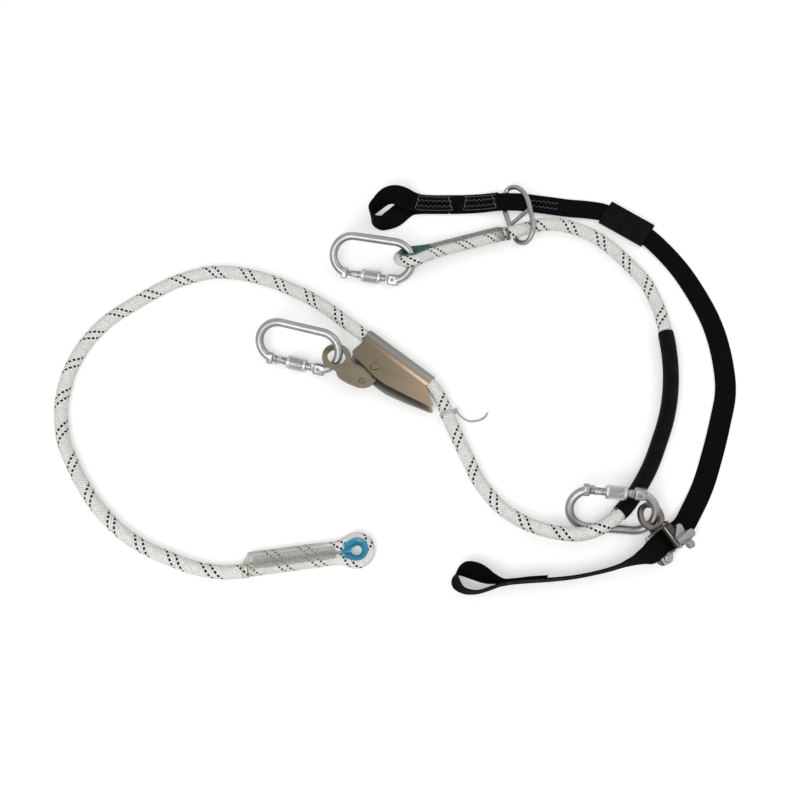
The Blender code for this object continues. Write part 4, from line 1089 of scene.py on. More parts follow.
@dataclass
class Carabiner:
    """One oval screw-lock carabiner, placed by its hinge end. X runs along the oval, the gate is at -Y."""

    label: str
    end: tuple[float, float, float]
    yaw: float
    roll: float
    length: float = 108 * MM
    width: float = 57 * MM
    bar: float = 10 * MM
    gate_radius: float = 4.3 * MM
    gate_inset: float = 1 * MM
    hinge_inset: float = 26 * MM
    latch_inset: float = 29 * MM
    tongue: float = 4.2 * MM
    pin_radius: float = 1.5 * MM
    screw_radius: float = 8 * MM
    screw_length: float = 24 * MM
    screw_start: float = 1 * MM
    grip_drop: float = 0.55 * MM
    stud: tuple[float, float, float] = (1.9 * MM, 1.25 * MM, 0.6 * MM)
    stud_rows: int = 14
    studs_around: int = 38
    threads: tuple[float, ...] = (-15.4 * MM, -14.3 * MM, -13.2 * MM, 14.8 * MM)
    lug: float = 9.4 * MM
    lug_below: float = 7 * MM
    lug_above: float = 6 * MM
    nose: float = 7.7 * MM

    @property
    def place(self) -> Matrix:
        """The placing matrix."""
        yaw = Matrix.Rotation(math.radians(self.yaw), 4, "Z")
        roll = Matrix.Rotation(math.radians(self.roll), 4, "X")
        back = Matrix.Translation((-self.length / 2, 0.0, 0.0))
        return Matrix.Translation(Vector(self.end) * MM + CENTRE_SHIFT) @ yaw @ roll @ back

    @property
    def hinge_x(self) -> float:
        """The X value of the hinge pin."""
        return self.length / 2 - self.hinge_inset

    @property
    def latch_x(self) -> float:
        """The X value of the latch pin."""
        return self.latch_inset - self.length / 2

    @property
    def gate_tip(self) -> float:
        """The X value of the gate's free end."""
        return self.latch_x - 2.7 * MM

    @property
    def axis(self) -> float:
        """The Y value of the gate's axis."""
        return self.gate_inset - (self.width - self.bar) / 2

    @property
    def grip(self) -> float:
        """The radius of the sleeve's grip under its knurl."""
        return self.screw_radius - self.grip_drop

    def across(self, x: float, radius: float, half: float) -> Object:
        """A cylinder across the gate's axis, along Z."""
        return upright(radius, (x, self.axis), half)

    def body(self) -> Mesh:
        """The forged C with its two lugs, slot and notch."""
        bend = (self.width - self.bar) / 2
        reach = (self.length - self.width) / 2
        path = arc((-reach, 0.0), bend, 256, 90, 44) + arc((reach, 0.0), bend, 90, -76, 44)
        start = tube([(x, y, 0.0) for x, y in path], self.bar / 2, 28)
        half, axis, hinge, latch = self.lug / 2, self.axis, self.hinge_x, self.latch_x
        bottom, top = axis - self.lug_below, axis + self.lug_above
        hinge_lug = block((hinge - 6 * MM, bottom, -half), (hinge + 8 * MM, top, half), 2 * MM, 4)
        nose_face = self.gate_tip - 0.6 * MM
        nose_lug = block((nose_face - self.nose, bottom, -half), (nose_face, top, half), 2 * MM, 4)
        root, step, tip = self.gate_tip - 3.3 * MM, latch + 1.6 * MM, latch + 6.5 * MM
        tongue = [(root, axis + 4 * MM), (root, axis - 6 * MM), (step, axis - 6 * MM),
                  (step, axis - 4 * MM), (tip, axis - 4 * MM), (tip, axis + 4 * MM)]
        blade = plate(tongue, -self.tongue / 2, self.tongue / 2)
        room = self.tongue / 2 + FIT
        slot = block((hinge - 9 * MM, axis - 5 * MM, -room), (hinge + 5.5 * MM, axis + 9 * MM, room))
        pin_hole = self.across(hinge, self.pin_radius + FIT, half + MM)
        side = self.pin_radius + FIT + 0.1 * MM
        notch = block((latch - side, axis - side, -4 * MM), (latch + side, axis + 9 * MM, 4 * MM))
        return Solid(start).join(hinge_lug, nose_lug, blade).cut(slot, pin_hole, notch).done(0.45 * MM, 3)

    def gate(self) -> Mesh:
        """The round gate with its hinge tongue and its fork."""
        axis, radius, half = self.axis, self.gate_radius, self.tongue / 2
        hinge, latch = self.hinge_x, self.latch_x
        shank = hinge - 8.7 * MM - self.gate_tip
        profile = [(0.0, radius - 0.5 * MM), (0.5 * MM, radius), (shank - 0.6 * MM, radius),
                   (shank, radius - 0.6 * MM)]
        start = turned(profile, (self.gate_tip, axis, 0.0), (1.0, 0.0, 0.0))
        root = hinge - 11 * MM
        outline = arc((hinge, axis), radius, -90, 90, 20)
        outline += [(root, axis + 4.1 * MM), (root, axis - 4.1 * MM)]
        fork = block((self.gate_tip - 2.3 * MM, axis - 6 * MM, -half - 0.5 * MM),
                     (latch + 8 * MM, axis + 6 * MM, half + 0.5 * MM))
        holes = [self.across(x, self.pin_radius + FIT, 6 * MM) for x in (hinge, latch)]
        bore = rod(1.5 * MM, (hinge - 24 * MM, axis, 0.0), (hinge, axis, 0.0), 16)
        solid = Solid(start).join(plate(outline, -half, half)).cut(fork, *holes, bore)
        return merged(solid.done(0.25 * MM), *(self.ridge(x) for x in self.threads))

    def ridge(self, x: float) -> Mesh:
        """One turn of the screw thread that shows beside the sleeve."""
        root, crest = self.gate_radius - 0.2 * MM, self.gate_radius + 0.28 * MM
        profile = [(-0.45 * MM, root), (-0.1 * MM, crest), (0.1 * MM, crest), (0.45 * MM, root)]
        return Solid(turned(profile, (x, self.axis, 0.0), (1.0, 0.0, 0.0), 40)).done(0.0)

    def sleeve(self) -> Mesh:
        """The screw sleeve: two plain collars and a knurled grip between them."""
        length, radius = self.screw_length, self.screw_radius
        collar = [(0.0, radius - 0.9 * MM), (0.9 * MM, radius), (3.2 * MM, radius), (3.6 * MM, self.grip)]
        profile = collar + [(length - x, r) for x, r in reversed(collar)]
        near, far = self.screw_start - length / 2, self.screw_start + length / 2
        start = turned(profile, (near, self.axis, 0.0), (1.0, 0.0, 0.0), 56)
        bore = rod(self.gate_radius + 0.5 * MM, (near - MM, self.axis, 0.0), (far + MM, self.axis, 0.0))
        return Solid(start).cut(bore).done(0.15 * MM)

    def knurl(self) -> Mesh:
        """The diamond knurl on the sleeve's grip."""
        length = self.screw_length - 7.6 * MM
        spots = []
        for row in range(self.stud_rows):
            x = self.screw_start - length / 2 + length * row / (self.stud_rows - 1)
            for k in range(self.studs_around):
                angle = 2 * math.pi * (k + (row % 2) / 2) / self.studs_around
                outward = Vector((0.0, math.cos(angle), math.sin(angle)))
                place = Vector((x, self.axis, 0.0)) + outward * (self.grip + 0.12 * MM)
                spots.append(facing(place, Vector((1.0, 0.0, 0.0)), outward))
        return StudTree.run(spots, Stud.PYRAMID, self.stud, KNURL_ZINC.material())

    def pin(self, x: float, half: float) -> Mesh:
        """A cross pin with slightly rounded ends."""
        return pin_mesh((x, self.axis, -half), UP, 2 * half, self.pin_radius, 0.25 * MM, 0.35 * MM, 24)

    def build(self) -> None:
        """Builds and dresses the carabiner."""
        base = f"carabiner_{self.label}"
        gate_body, sleeve_body = f"{base}_gate_set", f"{base}_sleeve_set"
        sleeve = merged(self.sleeve(), self.knurl())
        show_all(base, self.place, [
            ("forged_body", self.body(), ZINC, base, (f"{base}_body",)),
            ("hinge_rivet", self.pin(self.hinge_x, self.lug / 2), PIN_ZINC, base, (f"{base}_hinge_pin",)),
            ("round_gate", self.gate(), ZINC, gate_body, (f"{base}_gate",)),
            ("latch_rivet", self.pin(self.latch_x, 3.9 * MM), PIN_ZINC, gate_body, (f"{base}_latch_pin",)),
            ("knurled_sleeve", sleeve, KNURL_ZINC, sleeve_body, (f"{base}_screw_sleeve",)),
        ])
        for name in ("plunger", "gate_spring"):
            dress_node(f"{base}_{name}", PALE_STEEL)


def dress_node(name: str, finish: Finish) -> None:
    """Gives a material to a CAD node that no piece replaces."""
    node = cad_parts[name]
    node.data.materials.clear()
    node.data.materials.append(finish.material())
    LOG.info("node %s keeps its solid", name)


# Rope, sewn eyes, guard and tie


@dataclass
class BraidedBar:
    """A braided rope: a tube whose surface is a lattice of plaited cells."""

    radius: float
    pitch: float
    strands: int = 12
    fine: int = 1
    relief: float = 0.16 * MM

    def mesh(self, points: Callable[[int], Route], length: float) -> Mesh:
        """Makes the rope's mesh.

        Args:
            points: Gives the line as that many points.
            length: The line's length.

        Returns:
            The mesh, with the braid's UV map.
        """
        columns = 2 * self.strands * self.fine
        rows = max(4, round(length / self.pitch * columns)) + 1
        stations = travel(points(rows))

        def outline(i: int) -> list[Point]:
            """The section of one row, raised in the middle of each cell."""
            section = []
            for k in range(columns):
                right, left = (k - i) / (2 * self.fine), (k + i) / (2 * self.fine)
                swell = math.sin(math.pi * right) ** 2 * math.sin(math.pi * left) ** 2
                radius = self.radius + self.relief * (2 * swell - 1)
                angle = 2 * math.pi * k / columns
                section.append((radius * math.cos(angle), radius * math.sin(angle)))
            return section

        return loose(loft(stations, outline))


@dataclass
class Rope:
    """The free rope with its black guard and its cable tie."""

    radius: float = 8 * MM
    pitch: float = 43 * MM
    guard_from: Point = (127, -162)
    guard_to: Point = (205, 63)
    guard_wall: float = 1.2 * MM
    tie_spot: Point = (-64, -44)
    tie_width: float = 3.6 * MM
    tie_thick: float = 1.2 * MM
    cord_points: int = 360

    def build(self) -> None:
        route = metres(ROPE_ROUTE)
        path = smooth(route, self.cord_points)
        length = run_length(path)
        braid = BraidedBar(self.radius, self.pitch).mesh(lambda n: smooth(route, n), length)
        rope = Piece("braided_rope", braid, ROPE_WHITE, "harness", ("rope",), smooth_angle=180.0).show()
        guard = Piece("guard_tube", self.guard(path), BLACK_TUBE, "harness", ("rope_guard",)).show()
        tie = Piece("tie_strip", self.tie(path), PALE_NYLON, "harness", ("cable_tie",)).show()
        tuple(path[0][:3])

    @staticmethod
    def nearest(path: Route, spot: Point) -> int:
        """The number of the path's point nearest to a spot on the ground."""
        x, y = spot[0] * MM + CENTRE_SHIFT.x, spot[1] * MM + CENTRE_SHIFT.y
        return min(range(len(path)), key=lambda i: math.dist(path[i][:2], (x, y)))

    def guard(self, path: Route) -> Mesh:
        """The guard: an open tube with rounded rims."""
        stations = travel(path[self.nearest(path, self.guard_from):self.nearest(path, self.guard_to) + 1])
        inner = self.radius + FIT
        outer = inner + self.guard_wall
        last = len(stations) - 1
        walk = [(i, outer - (0.3 * MM if i in (0, last) else 0.0)) for i in range(last + 1)]
        walk += [(i, inner) for i in reversed(range(last + 1))]

        def ring(number: int) -> list[Point]:
            """The ring of that number along the walk, with small swellings on the outside."""
            i, radius = walk[number]
            swell = 0.006 * math.sin(i * 0.9) * math.sin(i * 0.37) if radius > inner else 0.0
            return circle(radius * (1.0 + swell), 36)

        return loose(loft([stations[i] for i, _ in walk], ring, True))

    def tie(self, path: Route) -> Mesh:
        """The cable tie: band, head and a toothed tail."""
        place, across, up = level_travel(path)[self.nearest(path, self.tie_spot)]
        along = across.cross(up)
        radius = self.radius + FIT + self.tie_thick / 2
        half, flat = self.tie_thick / 2, self.tie_width / 2
        turns = [(Vector((0.0, radius * c, radius * s)), Vector((0.0, c, s)), Vector((1.0, 0.0, 0.0)))
                 for c, s in circle(1.0, 90)]
        section = [(-half, -flat), (half, -flat), (half, flat), (-half, flat)]
        band = Solid(mesh_object(loft(turns, section, True)))
        head = (2.9 * MM, radius + 4 * MM, 2.6 * MM)
        band.join(block((-head[0], radius - 0.4 * MM, -head[2]), head, 0.7 * MM))
        tail_route = [(0, 11, 0), (8, 13.5, 1), (17, 20, 1), (20, 30, 0), (18, 41, -3), (14, 46, -4)]
        tail_line = level_travel(smooth([[v * MM for v in spot] for spot in tail_route], 60))
        slim, thin = flat * 0.75, 0.6 * MM
        tail = mesh_object(loft(tail_line, [(-slim, -thin), (slim, -thin), (slim, thin), (-slim, thin)]))
        teeth = [facing(spot + normal * 0.62 * MM, side, normal) for spot, side, normal in tail_line[4:-3]]
        ribs = StudTree.run(teeth, Stud.BAR, (1.6 * MM, 0.35 * MM, 0.3 * MM), PALE_NYLON.material())
        mesh = merged(band.done(0.25 * MM), Solid(tail).done(0.2 * MM), ribs)
        matrix = Matrix((along, across, up)).transposed().to_4x4()
        matrix.translation = place
        mesh.transform(matrix)
        return mesh


@dataclass
class SewnEye:
    """A sewn eye: the rope laid back round a thimble, stitched, under a clear shrink sleeve."""

    label: str
    place: Matrix
    sleeve_end: float
    hole_radius: float
    liner: Finish
    film: Finish
    keyhole: bool = False
    rope_radius: float = 6.7 * MM
    wall: float = 1.8 * MM
    pitch: float = 38 * MM
    seam_step: float = 1.25 * MM
    stitch: tuple[float, float, float] = (3.1 * MM, 0.95 * MM, 1.1 * MM)
    neck_radius: float = 7.9 * MM
    funnel: float = 9.5 * MM
    film_wall: float = 0.3 * MM
    film_room: float = 0.35 * MM
    film_wave: float = 0.12 * MM
    film_lip: float = 0.35 * MM

    @property
    def leg(self) -> float:
        """The distance from the eye's middle line to each leg's."""
        return self.rope_radius + 0.15 * MM

    @property
    def radius(self) -> float:
        """The radius of the rope's line round the liner."""
        return self.hole_radius + self.wall + FIT + self.rope_radius

    def line(self) -> list[list[float]]:
        """The rope's line from the main leg round the thimble to the tail."""
        leg, radius = self.leg, self.radius
        side = [(x * radius, leg + out * radius) for x, out in ((-1.92, 0.0), (-1.43, 0.044), (-0.98, 0.193))]
        straight = [(-80 * MM, leg), (-50 * MM, leg)]
        main = [(x, -y) for x, y in [(-self.sleeve_end, leg)] + straight + side]
        tail = (straight + side)[::-1] + [(-self.sleeve_end + 1.5 * MM, leg)]
        return [[x, y, 0.0] for x, y in main + arc((0.0, 0.0), radius, -121, 121, 14) + tail]

    def rope(self) -> Mesh:
        """The braided rope of the eye."""
        line = self.line()
        bar = BraidedBar(self.rope_radius, self.pitch, fine=2, relief=0.14 * MM)
        return bar.mesh(lambda n: smooth(line, n), run_length(smooth(line, 400)))

    def thimble(self) -> Mesh:
        """The liner: a channel round the rope, with rolled rims."""
        limit = -1.12 if self.keyhole else -1.68
        reach = [p for p in smooth(self.line(), 420) if p[0] > limit * self.radius]
        inner = self.rope_radius + FIT
        section = arc((0.0, 0.0), inner, -80, 80, 18) + arc((0.0, 0.0), inner + self.wall, 80, -80, 18)
        stations = []
        for i, point in enumerate(reach):
            before, after = reach[max(i - 1, 0)], reach[min(i + 1, len(reach) - 1)]
            along = (Vector(after) - Vector(before)).normalized()
            stations.append((Vector(point), Vector((-along.y, along.x, 0.0)), UP.copy()))
        liner = Solid(mesh_object(loft(stations, section)))
        if self.keyhole:
            liner.join(self.web())
        return liner.done(0.5 * MM, 3)

    def web(self) -> Object:
        """The web that narrows the liner's opening to a keyhole."""
        rim = arc((0.0, 0.0), self.hole_radius + 0.9 * MM, 112, 248, 20) + in_mm([(-18, -2.2), (-18, 2.2)])
        keyhole = arc((0.0, 0.0), self.hole_radius, -168, 168, 44) + in_mm([(-11.5, 0.7), (-11.5, -0.7)])
        solid = Solid(plate(rim, -3 * MM, 3 * MM)).cut(plate(keyhole, -4 * MM, 4 * MM))
        return linked("web", solid.done(0.0))

    def stitching(self) -> Mesh:
        """The thread in the grooves: a band of short stitches over both legs' inner halves, on both faces."""
        radius = self.rope_radius + FIT
        start, end = -self.sleeve_end + 6 * MM, -1.66 * self.radius
        count = int((end - start) / self.seam_step)
        rng = random.Random(11)
        spots = []
        for side in (1, -1):
            for i in range(count):
                for across in (-6.1, -3.6, -1.2, 1.2, 3.6, 6.1):
                    y = (across + rng.uniform(-0.5, 0.5)) * MM
                    x = start + (end - start) * (i + 0.5 + rng.uniform(-0.3, 0.3)) / count
                    offset = abs(y) - self.leg
                    rise = max(math.sqrt(radius ** 2 - offset ** 2), radius - 1.1 * MM) - 0.1 * MM
                    slant = Vector((rng.uniform(-0.7, 0.7), 1.0, 0.0))
                    spots.append(facing(Vector((x, y, side * rise)), slant, Vector((0.0, 0.0, float(side)))))
        return StudTree.run(spots, Stud.STITCH, self.stitch, GREY_THREAD.material())

    def sleeve(self) -> Mesh:
        """The clear sleeve: a thin wall that hugs both legs, dips between them and funnels to the rope."""
        leg, radius = self.leg, self.rope_radius + FIT
        mids = in_mm([(3.4, 0.0), (0.0, -0.1), (-3.4, 0.0)])
        outline = arc((leg, 0.0), radius, -90, 90, 20) + [(x, radius + y) for x, y in mids]
        outline += arc((-leg, 0.0), radius, 90, 270, 20) + [(-x, -radius - y) for x, y in mids]
        turns = [-90 + 9 * k for k in range(21)] + [90] * 3 + [90 + 9 * k for k in range(21)] + [270] * 3
        neck = [arc((-leg, 0.0), self.neck_radius, turn, turn, 1)[0] for turn in turns]
        start, end = -self.sleeve_end - 8 * MM, -1.72 * self.radius
        steps = 84
        rng = random.Random(7)
        waves = [rng.uniform(-1, 1) for _ in range(steps + 1)]

        def shell(i: int) -> list[Point]:
            """The outline at a station, with small shrink waves and a lip at each end."""
            lip = self.film_lip if i in (0, steps) else 0.0
            grow = 1.0 + (self.film_room + self.film_wave * waves[i] + lip) / radius
            share = min(1.0, i / steps * (end - start) / self.funnel)
            share = share * share * (3 - 2 * share)
            hull = [(x * (1 + (grow - 1) * 0.5), y * grow) for x, y in outline]
            return [(a * share + c * (1 - share) + (c + leg) * (grow - 1), b * share + d * grow * (1 - share))
                    for (a, b), (c, d) in zip(hull, neck)]

        shares = [0.5 + x / (2 * (leg + radius)) for x, _ in outline]
        stations = along_x(start + (end - start) * i / steps for i in range(steps + 1))
        obj = mesh_object(loft(stations, shell, caps=False, across=lambda k: shares[k]))
        wall = obj.modifiers.new("wall", "SOLIDIFY")
        wall.thickness = self.film_wall
        wall.offset = 1.0
        mesh = evaluated(obj)
        bpy.data.objects.remove(obj)
        return mesh

    def build(self) -> None:
        """Builds and dresses the eye."""
        node = f"eye_{self.label}"
        seams = (f"{node}_seam_front", f"{node}_seam_back")
        Piece(f"{node}_braid", self.rope(), EYE_WHITE, "harness", (f"{node}_rope",), self.place, 180.0).show()
        show_all(node, self.place, [
            ("liner", self.thimble(), self.liner, "harness", (f"{node}_thimble",)),
            ("stitching", self.stitching(), GREY_THREAD, "harness", seams),
            ("shrink_film", self.sleeve(), self.film, "harness", (f"{node}_sleeve",)),
        ])


# Rope adjuster


@dataclass
class Adjuster:
    """The folded rope adjuster with its gripping lever."""

    tilt: float = 10.7
    channel_radius: float = 8.6 * MM
    wall: float = 1.8 * MM
    left: float = -49 * MM
    right: float = 48 * MM
    plate_gap: float = 10 * MM
    lever_thick: float = 4.5 * MM
    cam_thick: float = 8.4 * MM
    cam_radius: float = 20 * MM
    pivot: Point = (-15.3 * MM, -28.4 * MM)
    rivet_radius: float = 3 * MM
    eye: Point = (-59 * MM, -45.4 * MM)
    eye_bore: float = 11 * MM
    eye_rim: float = 17.3 * MM
    boss: Point = (-15.5 * MM, -51 * MM)
    boss_radius: float = 2.3 * MM
    tooth_radius: float = 0.7 * MM

    @property
    def place(self) -> Matrix:
        """The placing matrix: X along the rope, tilted about it."""
        tilt = math.radians(self.tilt)
        upward = (0.6197 * math.sin(tilt), 0.7849 * math.sin(tilt), math.cos(tilt))
        return placed((-123.1, 23.3, 10.5), (0.7849, -0.6197, 0.0), upward)

    def shell(self) -> Mesh:
        """The folded sheet, cut to its outline: a channel and two plates."""
        inner, outer = self.channel_radius, self.channel_radius + self.wall
        low, high = self.plate_gap / 2, self.plate_gap / 2 + self.wall
        edge = -60 * MM
        turn_out = math.degrees(math.asin(high / outer))
        turn_in = math.degrees(math.asin(low / inner))
        section = [(edge, -high), *arc((0.0, 0.0), outer, -180 + turn_out, 180 - turn_out, 56), (edge, high),
                   (edge, low), *arc((0.0, 0.0), inner, 180 - turn_in, -180 + turn_in, 56), (edge, -low)]
        wing = in_mm([(71.5, -23.5), (72.3, -25.6), (70.5, -27.5), (42, -36.5), (16, -43), (4, -43.6),
                      (-9, -42.5), (-40, -36), (-44, -34.8), (-46.6, -32.2), (-48.2, -28.5), (-48.2, -24),
                      (-47, -13)])
        top, step = 14 * MM, -9 * MM
        outline = [(self.left, top), (self.right, top), (self.right, step), *wing, (self.left, step)]
        free_edge = in_mm([(-60, -30), (-46, -31), (-42, -33), (-6.9, -38.8), (9, -38.4), (41.9, -32.1),
                           (66, -27), (72, -21), (90, -20), (90, -70), (-60, -70)])
        hole = upright(self.rivet_radius + FIT, self.pivot, 20 * MM)
        solid = Solid(mesh_object(loft(along_x((-60 * MM, 80 * MM)), section)))
        solid.keep(plate(outline, -20 * MM, 20 * MM)).cut(plate(free_edge, MM, 20 * MM), hole)
        return self.toned(solid.done(0.5 * MM, 3))

    @staticmethod
    def toned(mesh: Mesh) -> Mesh:
        """Marks the channel with the second tone, paints the lower plate most of the way to it as a painted
        highlight, and marks the plates as warmer towards the right.
        """
        # Painted highlight: the lower plate, below -2 mm, gets three quarters of the paler second tone,
        # standing in for the bright light on it.
        marked(mesh, "bare", lambda place: 1.0 if place.y > -3 * MM else 0.75 if place.z < -2 * MM else 0.0)
        warm = mesh.attributes.new("warm", "FLOAT", "POINT")
        for value, vertex in zip(warm.data, mesh.vertices):
            value.value = min(1.0, max(0.0, (vertex.co.x + 15 * MM) / (75 * MM)))
        return mesh

    def lever(self) -> Mesh:
        """The lever: a toothed cam, an arm and the carabiner's eye."""
        rim = arc(self.eye, self.eye_rim, 33, 302, 60)
        arm = in_mm([(-47, -60.6), (-44.6, -62.8), (-42, -64.2), (-37.5, -65), (-33, -64.6), (-26, -63.4),
                     (-19.3, -61.5), (-14.6, -60), (-11.2, -58), (-7.8, -55.2), (-5.5, -51.5), (-3.9, -47),
                     (-3, -42), (-4, -30), (-6.5, -20)])
        neck = in_mm([(-25.5, -17), (-27.6, -20.2), (-29, -24), (-31, -33), (-32, -36.4), (-33.5, -38.5),
                      (-35.6, -39.8), (-38, -40.5)])
        outline = rim + arm + arc(self.pivot, self.cam_radius, 68, 112, 12) + neck
        half, cam = self.lever_thick / 2, self.cam_thick / 2
        x, foot = self.pivot[0], self.pivot[1] + self.cam_radius / 2
        cam_outline = [(x + 8 * MM, foot), *arc(self.pivot, self.cam_radius, 66, 114, 16), (x - 8 * MM, foot)]
        solid = Solid(plate(outline, -half, half)).join(plate(cam_outline, -cam, cam))
        solid.join(upright(2 * self.rivet_radius, self.pivot, cam))
        solid.cut(upright(self.eye_bore, self.eye, 10 * MM, 64),
                  upright(self.rivet_radius + FIT, self.pivot, 10 * MM),
                  upright(self.boss_radius + FIT, self.boss, 10 * MM))
        for tooth in arc(self.pivot, self.cam_radius + 0.3 * MM, 70, 110, 8):
            solid.cut(upright(self.tooth_radius, tooth, 6 * MM, 8))
        return solid.done(0.6 * MM, 3)

    def rivet(self, spot: Point, radius: float, low: float, high: float) -> Mesh:
        """A domed rivet through plates between two heights, with a dimple in its head."""
        head, rise = 1.5 * radius, 1.6 * MM
        dome = [(0.0, head * 0.55), (0.35 * MM, head * 0.86), (0.8 * MM, head), (rise, head)]
        top, bottom = high + FIT + rise, low - FIT - rise
        profile = dome + [(rise, radius), (top - bottom - rise, radius)]
        profile += [(top - bottom - x, r) for x, r in reversed(dome)]
        start = turned(profile, (*spot, bottom), UP, 40)
        dimple = turned([(0.0, 0.2 * MM), (1.4 * MM, head * 0.5)], (*spot, top - 0.7 * MM), UP, 32)
        return Solid(start).cut(dimple).done(0.1 * MM)

    def spring(self) -> Mesh:
        """The return spring round the pivot."""
        wire, coil, turns, steps = 0.4 * MM, 7.2 * MM, 1.25, 48
        low = self.lever_thick / 2 + FIT + wire
        rise = (2 * wire + FIT) / steps
        ground = arc(self.pivot, coil, -60, -60 + 360 * turns, int(turns * steps))
        return Solid(tube([(*spot, low + rise * i) for i, spot in enumerate(ground)], wire, 10)).done(0.0)

    def build(self) -> None:
        """Builds and dresses the adjuster."""
        outer, half = self.plate_gap / 2 + self.wall, self.lever_thick / 2
        pivot = self.rivet(self.pivot, self.rivet_radius, -outer, outer)
        boss = self.rivet(self.boss, self.boss_radius, -half, half)
        body, lever_body = "adjuster", "adjuster_lever_set"
        show_all("adjuster", self.place, [
            ("folded_shell", self.shell(), SHELL_STEEL, body, ("adjuster_shell",)),
            ("pivot_dome_rivet", pivot, OLIVE_STEEL, body, ("adjuster_pivot_rivet",)),
            ("toothed_lever", self.lever(), TAN_STEEL, lever_body, ("adjuster_lever",)),
            ("boss_rivet", boss, OLIVE_STEEL, lever_body, ("adjuster_lever_rivet",)),
            ("return_spring", self.spring(), PALE_STEEL, lever_body, ("adjuster_spring",)),
        ])


# Cam buckle


@dataclass
class Buckle:
    """The cam buckle: a pale base with two cheeks, an olive eye plate and a thumb lever."""

    plate_thick: float = 2 * MM
    pin_radius: float = 2 * MM
    strap_x: float = 30 * MM
    strap_z: float = 2.6 * MM
    pin_y: float = -1 * MM
    pin_z: float = 10.5 * MM
    rivet_spot: Point = (47.2 * MM, -19 * MM)
    rivet_radius: float = 3 * MM
    rim: float = 17 * MM
    bore: float = 11 * MM
    ring_thick: float = 4.5 * MM
    tongue: float = 2.4 * MM
    web_width: float = 25 * MM
    web_thick: float = 1.8 * MM

    @property
    def place(self) -> Matrix:
        """The placing matrix."""
        return placed((165.2, -170.0, 18.7), (0.594, -0.788, -0.160), (0.408, 0.1045, 1.0))

    @property
    def low(self) -> float:
        """The underside of the base plate."""
        return self.strap_z - self.web_thick / 2 - FIT - self.plate_thick

    @property
    def sides(self) -> tuple[float, float]:
        """The base's left and right faces."""
        half = self.web_width / 2 + 1.2 * MM
        return self.strap_x - half - self.plate_thick, self.strap_x + half + self.plate_thick

    def crossbar(self, radius: float, extra: float, sides: int = 40) -> Object:
        """A cylinder on the cam's axis, that far beyond the base on both sides."""
        left, right = self.sides
        spot = (self.pin_y, self.pin_z)
        return rod(radius, (left - extra, *spot), (right + extra, *spot), sides)

    def base(self) -> Mesh:
        """The plate under the strap with its cheeks and the rivet's flange."""
        left, right = self.sides
        low = self.low
        flange = in_mm([(46, -27), (49.5, -26.8), (51.6, -25), (53, -20), (52.9, -15.5), (51, -11.4),
                        (46.2, -8)])
        cut = 1.5 * MM
        outline = [(left, -25.5 * MM), (left + cut, -27 * MM), *flange, (right, 12.5 * MM),
                   (right - cut, 14 * MM), (left + cut, 14 * MM), (left, 12.5 * MM)]
        solid = Solid(plate(outline, low, low + self.plate_thick))
        ridge = [(-24, 0), (-20, 5), (-14, 8.4), (-9, 11), (-7, 13), (-5, 14), (3, 14), (5.4, 12.6), (7, 10),
                 (11, 4), (12, 0)]
        for side, shortest in ((left, -24), (right - self.plate_thick, -10)):
            cheek = [(max(y, shortest) * MM, z * MM if z else low + 0.4 * MM) for y, z in ridge]
            solid.join(mesh_object(loft(along_x((side, side + self.plate_thick)), cheek)))
        bolt = upright(self.rivet_radius + FIT, self.rivet_spot, 10 * MM)
        ring = upright(self.rim + FIT, (0.0, 0.0), self.ring_thick / 2 + FIT, 96)
        mesh = solid.cut(self.crossbar(self.pin_radius + FIT, MM), bolt, ring).done(0.5 * MM, 3)
        return marked(mesh, "bare", lambda place: float(place.x < left + 3 * MM and place.z > low + 2.4 * MM))

    def eye_plate(self) -> Mesh:
        """The ring for the carabiner and its tongue under the strap."""
        top = self.low - FIT
        tongue = in_mm([(8, -12), (15, -13), (38, -29), (45, -31), (50, -28), (53, -21), (52, -14), (32, 7),
                        (22, 11), (14, 12), (8, 12)])
        solid = Solid(upright(self.rim, (0.0, 0.0), self.ring_thick / 2, 96))
        solid.join(plate(tongue, top - self.tongue, top))
        solid.cut(upright(self.bore, (0.0, 0.0), 10 * MM, 72),
                  upright(self.rivet_radius + FIT, self.rivet_spot, 10 * MM))
        return solid.done(0.9 * MM, 4)

    def lever(self) -> Mesh:
        """The cam with its thumb tab of three lobes, and a groove on each side of the middle one."""
        left, right = self.sides
        inside = self.plate_thick + 0.6 * MM
        cam_radius = self.pin_z - self.strap_z - self.web_thick / 2 - 2 * FIT
        one, two, three = in_mm([(27.5, 7.5), (40.5, 17), (49.5, 6.8)])
        lobe = 4.6 * MM
        outline = in_mm([(32, -6)]) + arc(one, lobe, 235, 50, 18) + in_mm([(34.5, 10.5)])
        outline += arc(two, lobe, 170, -10, 20) + in_mm([(45.6, 11)]) + arc(three, lobe, 110, -110, 20)
        outline += in_mm([(43, 0), (43, -6)])
        low = 15 * MM
        tab = plate(outline, low, low + 5 * MM)
        arm = block((left + inside + MM, -5 * MM, self.pin_z), (right - inside - MM, 3 * MM, low + 2 * MM))
        solid = Solid(self.crossbar(cam_radius, -inside, 48)).join(tab, arm)
        for groove in (((34.2, -8), (34.4, 16)), ((41.6, -8), (45.8, 16))):
            solid.cut(rod(1.5 * MM, *((x, y, low + 5.3 * MM) for x, y in in_mm(groove)), 24))
        mesh = solid.cut(self.crossbar(self.pin_radius + FIT, 0.0)).done(0.8 * MM, 4)
        return marked(mesh, "bare", lambda place: float(place.x < 25 * MM or place.z < low - 0.2 * MM))

